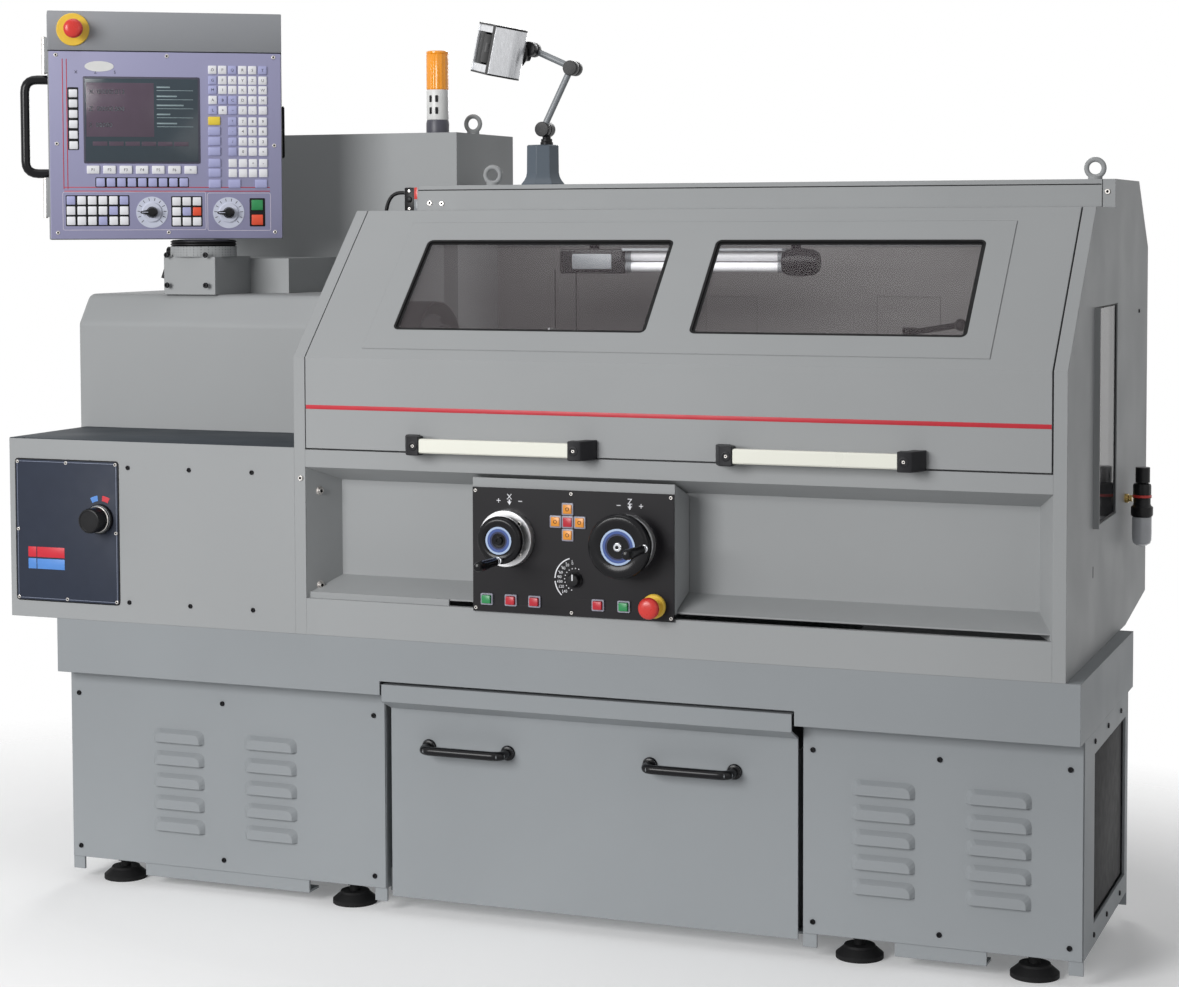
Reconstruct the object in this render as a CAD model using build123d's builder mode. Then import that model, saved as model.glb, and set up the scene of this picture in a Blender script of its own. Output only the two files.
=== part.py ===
from build123d import *
import math
import os

# Combination lathe: a flat-bed centre lathe with handwheels on the carriage and a
# swivelling control panel. Millimetres, +Z up, the floor at Z = 0. X runs along the
# spindle towards the tailstock, and Y runs from the operator's side to the back.

# Overall stations along the machine
gearbox_length = 654.0
guard_length = 1496.0
right_x = 1086.4
guard_left_x = right_x - guard_length
left_x = guard_left_x - gearbox_length

# Overall stations across the machine
front_y = -434.5
gearbox_depth = 284.0
slope_setback = 279.0
beam_setback = 494.0
roof_depth = 789.0
guard_depth = 917.0
spindle_setback = 440.0
gearbox_back_y = front_y + gearbox_depth
slope_back_y = front_y + slope_setback
beam_front_y = front_y + beam_setback
roof_back_y = front_y + roof_depth
guard_back_y = front_y + guard_depth
spindle_y = front_y + spindle_setback

# Overall stations up the machine
stand_top_z = 437.0
guard_bottom_z = 546.0
panel_edge_z = 617.0
sill_z = 907.0
slope_start_z = 1086.0
slope_top_z = 1370.0
chamfer_z = 1291.0
roof_z = 1424.0
spindle_z = 1055.0

# Sheet metal, seams and running gaps
sheet = 3.0
plate = 5.0
seam = 1.5
fold = 24.0
hinge_radius = 5.0
slide_gap = 0.3
turn_gap = 0.06
socket_gap = 0.3
press_depth = 6.0

# Bed
bed_front = 140.0
bed_back = 120.0
bed_y = (spindle_y - bed_front, spindle_y + bed_back)
bed_end = 60.0
bed_x = (left_x + 2 * bed_end, right_x - bed_end)
bed_top_z = 870.0
bed_beam_z = 640.0
bed_wall = 50.0
way_height = 14.0
way_top_z = bed_top_z + way_height
arch_x = (guard_left_x + 160.0, right_x - 440.0)
rib_count = 4
rib_width = 18.0

# Stand: two cabinets and a chip pan on levelling feet
stand_overhang = 26.0
pan_x = (left_x + 108.0, right_x + stand_overhang)
pan_back_y = bed_y[1] + 30.0
pan_rim = 30.0
cabinet_setback = 43.0
cabinet_y = (front_y + cabinet_setback, pan_back_y - 59.0)
cabinet_bottom_z = 48.0
left_cabinet_length = 715.0
right_cabinet_length = 509.0
left_cabinet_x = (pan_x[0] + 2, pan_x[0] + 2 + left_cabinet_length)
right_cabinet_x = (pan_x[1] - right_cabinet_length, pan_x[1])
tab_width = 26.0
tab_drop = 26.0
skirt_inset = 171.0
skirt_depth = 40.0
side_opening_y = (front_y + 150.0, front_y + 500.0)
side_opening_z = (88.0, 395.0)
foot_inset_x = 94.0
foot_inset_y = 50.0
foot_radius = 44.0
foot_height = 24.0
foot_stud_radius = 10.0
foot_nut = 17.0

# Louvres pressed into the cabinet covers
louvre_length = 117.0
louvre_height = 27.0
louvre_reach = 9.0
louvre_slope = 8.0
louvre_corner = 13.0
louvre_pitch = 45.2
louvre_rows = 5
louvre_offset = 104.5
left_louvre_z = 120.0
right_louvre_z = 132.0

# Drawer
drawer_x = (left_cabinet_x[1] + 13.0, right_cabinet_x[0] - 9.0)
drawer_z = (35.0, 405.0)
drawer_lip_z = (425.0, 458.0)
drawer_depth = 440.0
drawer_wall = 3.0
drawer_side_gap = 8.0
drawer_floor_z = drawer_z[0] + 10.0
chute_x = (drawer_x[0] - 4.0, drawer_x[1] + 5.0)
chute_top_z = drawer_lip_z[1] + 6.0
chute_depth = 520.0
rail_reach = 30.0
pull_radius = 8.0
pull_reach = 38.0
pull_span = 165.0
pull_insets = (163.5, 203.5)
pull_x = (drawer_x[0] + pull_insets[0], drawer_x[1] - pull_insets[1])
pull_z = 335.0

# Gearbox housing and headstock cover
cover_left_x = left_x - 20.0
cover_bend_z = 1134.0
cover_top_z = 1195.0
cover_slope = 42.0
cover_round = 22.0
cover_side_round = 14.0
selector_x = left_x + 215.0
selector_z = 753.0
selector_radius = 30.0
selector_stem = 9.0

# Headstock, spindle and chuck
headstock_x = (left_x + 150.0, guard_left_x - 2.0)
headstock_width = 268.0
headstock_top_z = spindle_z + 95.0
spindle_radius = 42.0
nose_x = guard_left_x + 4.0
nose_radius = 108.0
chuck_x = nose_x + 6.0
chuck_radius = 100.0
chuck_length = 86.0
chuck_bore = 28.0
jaw_count = 3
jaw_width = 30.0
jaw_gap = 0.4
jaw_base = (58.0, 21.0)
jaw_step = (50.0, 19.0)
jaw_tip = (30.0, 14.0)
hood_radius = 126.0
hood_width = 104.0
hood_from = 20.0
hood_sweep = 170.0

# Guard end walls, recess and slot
side_window_y = (front_y + 270.0, front_y + 530.0)
side_window_z = (783.0, 1187.0)
glass = 5.0
glass_lap = 14.0
panel_x = (guard_left_x + fold, right_x - fold)
recess_depth = 82.0
recess_cheek = 38.0
recess_top = (sill_z - 65.0, sill_z - 34.0)
chute_edge = (12.0, panel_edge_z + 12.0)
chute_back_z = panel_edge_z + 38.0
slot_x = (guard_left_x + 324.0, right_x - 30.0)
electric_x = (left_x + 77.0, guard_left_x + 33.0)
electric_y = (front_y + 700.0, front_y + 1017.0)
electric_z = (560.0, 1544.0)
electric_rim = 6.0
roof_x = (electric_x[1] + 4.0, right_x - fold - seam)

# Guard door
door_x = (guard_left_x + fold + 2, right_x - fold - 3)
door_bottom_z = sill_z + sheet
door_lip = 22.0
door_back_y = beam_front_y - 4.0
hinge_y = beam_front_y - 8.0
hinge_z = slope_top_z - 9.0
knuckle_length = 60.0
frame_rise = 1.6
frame_x = (guard_left_x + 140.0, right_x - 139.0)
frame_v = (25.0, 362.0)
window_margin = 48.5
window_spacing = 85.0
window_width = (frame_x[1] - frame_x[0] - 2 * window_margin - window_spacing) / 2
window_v = (74.0, 314.0)
window_corner = 12.0
handle_z = 925.0
handle_spacing = 619.0
handle_length = 385.0
handle_reach = 46.0
bracket_length = 42.0
bracket_height = 36.0
bar_height = 27.0
bar_depth = 16.0

# Carriage: saddle, cross slide, tool post and control box
carriage_x = guard_left_x + 380.0
saddle_x = (carriage_x - 114.0, carriage_x + 176.0)
saddle_y = (bed_y[0] - 38.0, bed_y[1] + 36.0)
saddle_z = (way_top_z + slide_gap, way_top_z + 46.0)
apron = 18.0
cross_x = (carriage_x - 54.0, carriage_x + 86.0)
cross_y = (saddle_y[0] + 6.0, bed_y[1])
cross_z = (saddle_z[1] + slide_gap, saddle_z[1] + 55.0)
post_size = 112.0
post_height = 118.0
post_spot = ((cross_x[0] + cross_x[1]) / 2, spindle_y - 88.0)
tool_slot = 26.0
carrier_z = (panel_edge_z + 2.0, panel_edge_z + 8.0)
carrier_x = (carriage_x + 36.0, carriage_x + 336.0)
box_x = (carriage_x, carriage_x + 403.0)
box_y = front_y - 2.0
box_depth = 80.0
box_top_z = 866.0
box_slope = 28.0
box_bottom_z = panel_edge_z + 9.0
face_z = (panel_edge_z - 4.0, 848.0)
face_y = box_y - sheet
flange_radius = 54.0
flange_depth = 14.0
wheel_bore = 10.0
x_wheel_spot = (carriage_x + 72.0, spindle_z - 301.0)
z_wheel_spot = (carriage_x + 312.5, spindle_z - 301.0)
x_wheel_radius = 45.0
z_wheel_radius = 60.0
x_wheel_reach = 45.0
z_wheel_reach = 55.0
crank_radius = 8.0
crank_length = 100.0
jog_spot = (carriage_x + 208.0, face_z[0] + 69.0)
jog_radius = 15.0
axis_key_spot = (carriage_x + 194.0, face_z[1] - 59.0)
axis_key_pitch = 24.2
axis_key = 22.0
button_row_z = face_z[0] + 24.0
button_names = ("start_button", "stop_button", "feed_hold_button", "reset_button", "cycle_button")
button_insets = (30.0, 79.0, 127.0, 254.0, 305.0)
button_width = 24.0
button_height = 21.0
button_shank = (16.0, 10.0)
stop_spot = (carriage_x + 364.0, face_z[0] + 28.0)
stop_radius = 20.0
stop_shank = 10.0

# Tailstock
tail_x = (right_x - 470.0, right_x - 250.0)
tail_base = 34.0
tail_barrel = 62.0
quill_radius = 27.0
quill_reach = 60.0
quill_length = 220.0
tail_boss = 26.0
tail_wheel_radius = 80.0
tail_screw = 9.0
clamp_x = right_x - 385.0
clamp_radius = 8.0

# Control panel and its arm
panel_angle = 34.4
panel_width = 487.0
panel_height = 478.0
panel_depth = 78.0
panel_face = 4.0
face_top = 155.0
panel_centre = (left_x + 197.0, front_y + 300.0, 1551.0)
pedestal_spot = (left_x + 237.0, front_y + 379.0)
pedestal_radius = 70.0
arm_block_x = (left_x + 175.0, left_x + 299.0)
arm_block_y = (front_y + 319.0, front_y + 470.0)
arm_x = (left_x + 175.0, left_x + 393.0)
arm_z = (cover_top_z, cover_top_z + 80.0)
collar_z = (arm_z[1], arm_z[1] + 22.0)
lever_z = arm_z[1] + 11.0
lever_radius = 6.0
dial_radius = 11.0
dial_height = 14.0
feed_dial_spot = (-33.0, -182.0)
speed_dial_spot = (128.0, -183.0)
panel_stop_spot = (-191.0, 200.0)
side_bar_radius = 10.0
side_bar_v = (-100.0, 96.0)
side_bar_reach = 58.0
panel_hinge_v = ((110.0, 184.0), (-191.0, -108.0))
latch_v = (-66.0, 44.0)

# Work lamp
lamp_x = guard_left_x + 278.0
lamp_y = front_y + 600.0
lamp_base_height = 86.0
joint_radius = 16.0
joint_length = 20.0
arm_radius = 7.0
elbow = (lamp_x + 5.0, roof_z + 118.0)
knee = (elbow[0] + 64.0, elbow[1] + 127.0)
neck = (knee[0] - 94.0, knee[1] + 42.0)
head_width = 98.0
head_depth = 90.0
head_height = 106.0
head_swing = 46.0
head_tilt = 12.0
head_wall = 2.5
head_cap = 4.0
head_bracket = 18.0
head_drop = 16.0

# Signal tower, eyebolts, work light and air unit
tower_spot = (electric_x[1] - 66.0, electric_y[0] + 45.0)
eye_ring = 17.0
eye_wire = 5.0
eye_collar = 14.0
eye_height = 24.0
light_x = (guard_left_x + 286.0, right_x - 640.0)
light_spot = (front_y + 700.0, 1262.0)
light_radius = 25.0
light_end = 82.0
air_spot = (right_x + 34.0, front_y + 640.0)
air_body_z = (765.0, 832.0)
air_bowl = 19.0
air_pipe_z = 800.0


def block(x, y, z, mode=Mode.ADD):
    """Adds a box that spans the ranges x, y and z to the open part."""
    with Locations(((x[0] + x[1]) / 2, (y[0] + y[1]) / 2, (z[0] + z[1]) / 2)):
        Box(x[1] - x[0], y[1] - y[0], z[1] - z[0], mode=mode)


def rod(radius, start, end, mode=Mode.ADD):
    """Adds a round bar from start to end to the open part."""
    axis = Vector(*end) - Vector(*start)
    with Locations(Plane(origin=start, z_dir=axis)):
        Cylinder(radius, axis.length, align=(Align.CENTER, Align.CENTER, Align.MIN), mode=mode)


def across(x):
    """The plane of a cross-section of the machine at x: local x is Y, local y is Z."""
    return Plane(origin=(x, 0, 0), x_dir=(0, 1, 0), z_dir=(1, 0, 0))


def upright(x, y, z):
    """A plane that faces the operator at that point: local x is X, local y is Z."""
    return Plane(origin=(x, y, z), x_dir=(1, 0, 0), z_dir=(0, -1, 0))


def polar(radius, degrees, centre=(0, 0)):
    """The point at that radius and angle from centre."""
    turn = math.radians(degrees)
    return (centre[0] + radius * math.cos(turn), centre[1] + radius * math.sin(turn))


def save(builder, name):
    """Labels a finished piece and writes it as a STEP file."""
    builder.part.label = name
    export_step(builder.part, f"parts/{name}.step")


os.makedirs("parts", exist_ok=True)

# Stand

foot_rows_y = (cabinet_y[0] + foot_inset_y, cabinet_y[1] - foot_inset_y)
foot_spots = [(x, y) for low, high in (left_cabinet_x, right_cabinet_x)
              for x in (low + foot_inset_x, high - foot_inset_x) for y in foot_rows_y]


def cabinet(x):
    """A sheet cabinet with corner tabs below its bottom edge, behind its louvred cover."""
    y = (cabinet_y[0] + sheet, cabinet_y[1])
    block(x, y, (cabinet_bottom_z, stand_top_z))
    block((x[0] + plate, x[1] - plate), (y[0] - plate, y[1] - plate),
          (cabinet_bottom_z + plate, stand_top_z - plate), mode=Mode.SUBTRACT)
    for corner_x in ((x[0], x[0] + tab_width), (x[1] - tab_width, x[1])):
        for corner_y in ((y[0], y[0] + plate), (y[1] - plate, y[1])):
            block(corner_x, corner_y, (cabinet_bottom_z - tab_drop, cabinet_bottom_z))
    skirt_x = (x[0] + skirt_inset, x[1] - skirt_inset)
    block(skirt_x, (y[0], y[0] + plate), (cabinet_bottom_z - tab_drop, cabinet_bottom_z + 1))
    block(skirt_x, (y[0], y[0] + skirt_depth), (cabinet_bottom_z - tab_drop, cabinet_bottom_z - tab_drop + plate))
    for spot in foot_spots:
        rod(foot_stud_radius + socket_gap, (*spot, cabinet_bottom_z - plate),
            (*spot, cabinet_bottom_z + 2 * plate), mode=Mode.SUBTRACT)


def drawer_rail(wall_x, inward):
    """An angle runner on a cabinet's side that carries one edge of the drawer."""
    y = (cabinet_y[0] + 20, cabinet_y[1])
    top = drawer_floor_z - slide_gap
    block(sorted((wall_x, wall_x + inward * rail_reach)), y, (top - plate, top))
    block(sorted((wall_x, wall_x + inward * plate)), y, (top, top + 40))


with BuildPart() as left_cabinet:
    cabinet(left_cabinet_x)
    drawer_rail(left_cabinet_x[1], 1)

with BuildPart() as right_cabinet:
    cabinet(right_cabinet_x)
    drawer_rail(right_cabinet_x[0], -1)
    block((right_cabinet_x[1] - 2 * plate, right_cabinet_x[1] + plate), side_opening_y,
          side_opening_z, mode=Mode.SUBTRACT)


def louvre_outline(half_length, height):
    """The outline of a louvre from its open edge up, with rounded upper corners."""
    corner = [polar(louvre_corner, angle, (half_length - louvre_corner, height - louvre_corner))
              for angle in (0, 30, 60, 90)]
    Polygon((-half_length, 0), (half_length, 0), *corner,
            *[(-x, z) for x, z in reversed(corner)], align=None)


louvre_rows_z = [row * louvre_pitch for row in range(louvre_rows)]

with BuildPart() as louvred_covers:
    for cabinet_x, lowest_z in ((left_cabinet_x, left_louvre_z), (right_cabinet_x, right_louvre_z)):
        block((cabinet_x[0] + seam, cabinet_x[1] - seam), (cabinet_y[0], cabinet_y[0] + sheet),
              (cabinet_bottom_z, stand_top_z))
        middle = sum(cabinet_x) / 2
        louvre_spots = [(middle + side * louvre_offset, lowest_z + z)
                        for side in (-1, 1) for z in louvre_rows_z]
        for x, z in louvre_spots:
            with BuildSketch(upright(x, cabinet_y[0], z)):
                louvre_outline(louvre_length / 2, louvre_height)
            with BuildSketch(upright(x, cabinet_y[0] - louvre_reach, z)):
                louvre_outline(louvre_length / 2 - louvre_slope, louvre_height - louvre_slope)
            loft()
        for x, z in louvre_spots:
            with BuildSketch(upright(x, cabinet_y[0] + sheet + 1, z - 1)):
                louvre_outline(louvre_length / 2 - seam, louvre_height - seam)
            with BuildSketch(upright(x, cabinet_y[0] - louvre_reach + seam, z - 1)):
                louvre_outline(louvre_length / 2 - louvre_slope - seam, louvre_height - louvre_slope - seam)
            loft(mode=Mode.SUBTRACT)

with BuildPart() as chip_pan:
    y = (front_y, pan_back_y)
    inside_x = (pan_x[0] + plate, pan_x[1] - plate)
    inside_y = (y[0] + plate, y[1] - plate)
    block(pan_x, y, (stand_top_z, guard_bottom_z))
    block(inside_x, inside_y, (stand_top_z + plate, guard_bottom_z - sheet), mode=Mode.SUBTRACT)
    block((inside_x[0] + pan_rim, inside_x[1] - pan_rim), (inside_y[0] + pan_rim, inside_y[1]),
          (guard_bottom_z - 2 * sheet, guard_bottom_z + sheet), mode=Mode.SUBTRACT)
    block(chute_x, (y[0] - plate, front_y + chute_depth), (stand_top_z - plate, chute_top_z),
          mode=Mode.SUBTRACT)

with BuildPart() as leveling_feet:
    stud_top_z = cabinet_bottom_z + 28
    for spot in foot_spots:
        with BuildSketch(upright(*spot, 0)):
            Polygon((0, 0), (foot_radius, 0), (foot_radius, 8), (foot_radius - 14, foot_height - 4),
                    (foot_radius - 16, foot_height), (foot_stud_radius, foot_height),
                    (foot_stud_radius, stud_top_z), (0, stud_top_z), align=None)
        revolve(axis=Axis(origin=(*spot, 0), direction=(0, 0, 1)))
        for nut_z in (cabinet_bottom_z - 12, cabinet_bottom_z + plate):
            with BuildSketch(Plane.XY.offset(nut_z)):
                with Locations(spot):
                    RegularPolygon(foot_nut, 6)
            extrude(amount=12)

# Drawer with its two pulls

drawer_front_y = cabinet_y[0]

with BuildPart() as drawer:
    with BuildSketch(across(drawer_x[0])):
        Polygon((drawer_front_y, drawer_z[0]), (drawer_front_y, drawer_z[1]),
                (front_y, drawer_lip_z[0]), (front_y, drawer_lip_z[1]),
                (drawer_front_y + 14, drawer_lip_z[1]), (drawer_front_y + 14, drawer_lip_z[1] - drawer_wall),
                (front_y + drawer_wall, drawer_lip_z[1] - drawer_wall),
                (front_y + drawer_wall, drawer_lip_z[0] + 2),
                (drawer_front_y + drawer_wall, drawer_z[1] + 2),
                (drawer_front_y + drawer_wall, drawer_z[0]), align=None)
    extrude(amount=drawer_x[1] - drawer_x[0])
    tray_x = (drawer_x[0] + drawer_side_gap, drawer_x[1] - drawer_side_gap)
    tray_y = (drawer_front_y + drawer_wall, drawer_front_y + drawer_depth)
    block(tray_x, tray_y, (drawer_floor_z, drawer_z[1] - 30))
    block((tray_x[0] + drawer_wall, tray_x[1] - drawer_wall), (tray_y[0], tray_y[1] - drawer_wall),
          (drawer_floor_z + drawer_wall, drawer_z[1]), mode=Mode.SUBTRACT)
    for x in pull_x:
        ends = (x - pull_span / 2, x + pull_span / 2)
        root_y = drawer_front_y - 4
        grip_y = drawer_front_y - pull_reach
        with BuildSketch(upright(ends[0], root_y, pull_z)) as tube_section:
            Circle(pull_radius)
        with BuildLine() as tube_path:
            FilletPolyline((ends[0], root_y, pull_z), (ends[0], grip_y, pull_z),
                           (ends[1], grip_y, pull_z), (ends[1], root_y, pull_z), radius=2 * pull_radius)
        sweep(sections=tube_section.sketch, path=tube_path.line)
        for end in ends:
            rod(pull_radius + 5, (end, root_y - 1, pull_z), (end, drawer_front_y, pull_z))

# Bed, headstock and gearbox housing

with BuildPart() as bed:
    low, high = bed_y
    with BuildSketch(across(bed_x[0])):
        Polygon((low, bed_beam_z), (low + 26, bed_beam_z), (low + bed_wall, bed_beam_z + 40),
                (low + bed_wall, bed_top_z - 60), (high - bed_wall, bed_top_z - 60),
                (high - bed_wall, bed_beam_z + 40), (high - 26, bed_beam_z), (high, bed_beam_z),
                (high, bed_top_z), (high - 20, bed_top_z), (high - 26, way_top_z), (high - 60, way_top_z),
                (high - 66, bed_top_z), (low + 66, bed_top_z), (low + 42, way_top_z),
                (low + 20, bed_top_z), (low, bed_top_z), align=None)
    extrude(amount=bed_x[1] - bed_x[0])
    rib_pitch = (arch_x[1] - arch_x[0] - rib_width) / (rib_count - 1)
    for rib in range(rib_count):
        x = arch_x[0] + rib * rib_pitch
        block((x, x + rib_width), (low + bed_wall - 10, high - bed_wall + 10),
              (bed_beam_z + 40, bed_top_z - 40))
    for column in ((bed_x[0] + 30, arch_x[0]), (arch_x[1], bed_x[1] - 30)):
        block(column, bed_y, (stand_top_z + plate, bed_beam_z))
        block(column, (low + bed_wall - 10, high - bed_wall + 10), (bed_beam_z - 1, bed_top_z - 40))

with BuildPart() as headstock:
    with BuildSketch(across(headstock_x[0])):
        with Locations((spindle_y, (way_top_z + headstock_top_z) / 2)):
            RectangleRounded(headstock_width, headstock_top_z - way_top_z, 18)
    extrude(amount=headstock_x[1] - headstock_x[0])
    rod(nose_radius, (headstock_x[1], spindle_y, spindle_z), (nose_x, spindle_y, spindle_z))
    rod(spindle_radius + turn_gap, (headstock_x[0] - 10, spindle_y, spindle_z),
        (nose_x + 10, spindle_y, spindle_z), mode=Mode.SUBTRACT)
    for y in (spindle_y - 110, spindle_y + 80):
        block((headstock_x[1] - 60, headstock_x[1] - 20), (y, y + 30),
              (headstock_top_z, headstock_top_z + 14))

with BuildPart() as gearbox_housing:
    block((left_x, guard_left_x), (front_y, gearbox_back_y), (guard_bottom_z, sill_z + sheet))
    block((left_x + sheet, guard_left_x - sheet), (front_y + sheet, gearbox_back_y + sheet),
          (guard_bottom_z + sheet, sill_z), mode=Mode.SUBTRACT)
    rod(selector_stem + turn_gap, (selector_x, front_y - 5, selector_z),
        (selector_x, front_y + 10, selector_z), mode=Mode.SUBTRACT)


def cover_section(inset, bottom):
    """The side outline of the headstock cover, drawn in by inset."""
    front, back = gearbox_back_y + inset, electric_y[0] - inset
    Polygon((front, bottom), (front, cover_bend_z), (gearbox_back_y + cover_slope + inset, cover_top_z - inset),
            (back, cover_top_z - inset), (back, bottom), align=None)


with BuildPart() as headstock_cover:
    with BuildSketch(across(cover_left_x)) as outer:
        cover_section(0, guard_bottom_z)
        fillet(outer.vertices().filter_by(lambda v: v.Y > slope_start_z and v.X < spindle_y), cover_round)
    extrude(amount=guard_left_x - cover_left_x)
    left_edges = headstock_cover.faces().sort_by(Axis.X)[0].edges()
    fillet(left_edges.filter_by(lambda e: e.center().Z > guard_bottom_z + 1 and e.center().Y < spindle_y + 200),
           cover_side_round)
    with BuildSketch(across(cover_left_x + sheet)):
        cover_section(sheet + 2, guard_bottom_z - 5)
    extrude(amount=guard_left_x - cover_left_x, mode=Mode.SUBTRACT)
    block((left_x - 1, guard_left_x + 1), (gearbox_back_y - 1, gearbox_back_y + 2 * sheet),
          (guard_bottom_z - 1, sill_z), mode=Mode.SUBTRACT)

# Guard: fixed sheets

skirt_y = pan_back_y + 67.0
skirt_z = guard_bottom_z + 33.0
front_fold = ((front_y, guard_bottom_z), (front_y, slope_start_z), (slope_back_y, slope_top_z),
              (beam_front_y, slope_top_z))
wall_profile = (*front_fold, (beam_front_y, roof_z), (roof_back_y, roof_z), (guard_back_y, chamfer_z),
                (guard_back_y, skirt_z), (skirt_y, guard_bottom_z))
inner_fold = ((beam_front_y, slope_top_z - sheet), (slope_back_y + 1, slope_top_z - sheet),
              (front_y + sheet, slope_start_z - 1), (front_y + sheet, guard_bottom_z))
inner_roof = ((guard_back_y - sheet, chamfer_z), (roof_back_y - 1, roof_z - sheet),
              (beam_front_y + sheet, roof_z - sheet), (beam_front_y + sheet, slope_top_z - sheet))
switch_y = (beam_front_y + 3.0, beam_front_y + 33.0)

with BuildPart() as guard_left_wall:
    with BuildSketch(across(guard_left_x)):
        Polygon(*wall_profile, align=None)
        with Locations((bed_y[0] + 130, (guard_bottom_z + way_top_z) / 2)):
            Rectangle(270, way_top_z + 12 - guard_bottom_z, mode=Mode.SUBTRACT)
        with Locations((spindle_y, spindle_z)):
            Circle(nose_radius + 4, mode=Mode.SUBTRACT)
        with Locations((electric_y[0] + 400, slope_start_z)):
            Rectangle(800 + 6, 1400, mode=Mode.SUBTRACT)
    extrude(amount=sheet)
    block((guard_left_x - 1, guard_left_x + 2 * sheet), (beam_front_y - 1, roof_back_y),
          (slope_top_z, roof_z + 1), mode=Mode.SUBTRACT)
    jog_y = (electric_y[0] - 2 * sheet, electric_y[0] - sheet)
    end_x = (electric_x[1] + 1, electric_x[1] + 1 + sheet)
    block((guard_left_x, electric_x[1] + sheet), jog_y, (guard_bottom_z, roof_z))
    with BuildSketch(across(electric_x[1] + 1)):
        Polygon(*wall_profile, align=None)
        with Locations((jog_y[0] - 500, slope_start_z)):
            Rectangle(1000, 1400, mode=Mode.SUBTRACT)
    extrude(amount=sheet)
    with BuildSketch(across(guard_left_x)):
        Polygon(*front_fold, *inner_fold, align=None)
    extrude(amount=fold)
    # The ledge and the beam's end plate, with the interlock switch on the ledge
    ledge_z = (slope_top_z - sheet, slope_top_z)
    block((guard_left_x, guard_left_x + fold), (beam_front_y - sheet, jog_y[1]), ledge_z)
    block((guard_left_x, end_x[1]), (beam_front_y + sheet, jog_y[1]), ledge_z)
    block(end_x, (beam_front_y, jog_y[1]), (slope_top_z, roof_z))
    block((guard_left_x + sheet, end_x[0] + 1), switch_y, (slope_top_z - 1, slope_top_z + 50))

with BuildPart() as guard_right_wall:
    with BuildSketch(across(right_x - sheet)):
        Polygon(*wall_profile, align=None)
        with Locations((sum(side_window_y) / 2, sum(side_window_z) / 2)):
            Rectangle(side_window_y[1] - side_window_y[0], side_window_z[1] - side_window_z[0],
                      mode=Mode.SUBTRACT)
    extrude(amount=sheet)
    with BuildSketch(across(right_x)):
        Polygon(*front_fold, (beam_front_y, roof_z), (roof_back_y, roof_z), (guard_back_y, chamfer_z),
                *inner_roof, *inner_fold[1:], align=None)
    extrude(amount=-fold)
    block((right_x, right_x + 11), (side_window_y[0] - 4, side_window_y[0]), side_window_z)

with BuildPart() as side_window:
    block((right_x - sheet - glass, right_x - sheet), (side_window_y[0] - glass_lap, side_window_y[1] + glass_lap),
          (side_window_z[0] - glass_lap, side_window_z[1] + glass_lap))

with BuildPart() as front_panel:
    back_y = front_y + recess_depth
    edge_y = front_y + chute_edge[0]
    with BuildSketch(across(panel_x[0])):
        Polygon((front_y, guard_bottom_z), (front_y, panel_edge_z), (edge_y, panel_edge_z),
                (edge_y, panel_edge_z - sheet), (front_y + sheet, panel_edge_z - sheet),
                (front_y + sheet, guard_bottom_z), align=None)
        Polygon((edge_y, chute_edge[1]), (back_y, chute_back_z), (back_y, recess_top[0]),
                (front_y, recess_top[1]), (front_y, sill_z), (front_y + 40, sill_z),
                (front_y + 40, sill_z - sheet), (front_y + sheet, sill_z - sheet),
                (front_y + sheet, recess_top[1] + 2), (back_y + sheet, recess_top[0] + 2),
                (back_y + sheet, chute_back_z - 2), (edge_y, chute_edge[1] - sheet), align=None)
    extrude(amount=panel_x[1] - panel_x[0])
    for side, turn in ((panel_x[0], 1), (panel_x[1], -1)):
        with BuildSketch(Plane.XY.offset(panel_edge_z - sheet)):
            Polygon((side, front_y + 1), (side + turn * recess_cheek, back_y + 1),
                    (side + turn * recess_cheek, back_y + sheet), (side, front_y + 2 * sheet), align=None)
        extrude(amount=sill_z - panel_edge_z)
    for end in ((panel_x[0], slot_x[0]), (slot_x[1], panel_x[1])):
        block(end, (edge_y - sheet, edge_y), (panel_edge_z - sheet, chute_edge[1]))

knuckle_spots = [door_x[0] + share * (door_x[1] - door_x[0]) for share in (0.08, 0.5, 0.92)]

with BuildPart() as top_beam:
    with BuildSketch(across(roof_x[0])):
        Polygon((beam_front_y, slope_top_z + 1), (beam_front_y, roof_z), (roof_back_y, roof_z),
                (guard_back_y, chamfer_z), *inner_roof[:3], (beam_front_y + sheet, slope_top_z + 1),
                align=None)
    extrude(amount=roof_x[1] - roof_x[0])
    block(roof_x, (beam_front_y - 1.2, beam_front_y), (slope_top_z + 1, roof_z - 11))
    for x in knuckle_spots:
        leaf_x = (x + slide_gap, x + knuckle_length)
        rod(hinge_radius, (leaf_x[0], hinge_y, hinge_z), (leaf_x[1], hinge_y, hinge_z))
        leaf_y = (beam_front_y + sheet - 0.4, beam_front_y + 2 * sheet)
        block(leaf_x, (hinge_y, leaf_y[1]), (hinge_z - hinge_radius, hinge_z - 2))
        block(leaf_x, leaf_y, (hinge_z - hinge_radius, slope_top_z + sheet))

with BuildPart() as back_wall:
    with BuildSketch(across(roof_x[0])):
        Polygon((guard_back_y, chamfer_z), (guard_back_y, skirt_z), (skirt_y, guard_bottom_z),
                (pan_back_y - 10, guard_bottom_z), (pan_back_y - 10, guard_bottom_z + sheet),
                (skirt_y - 1, guard_bottom_z + sheet), (guard_back_y - sheet, skirt_z + 2),
                (guard_back_y - sheet, chamfer_z), align=None)
    extrude(amount=right_x - sheet - roof_x[0])

# Electrical cabinet with its rear door

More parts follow.
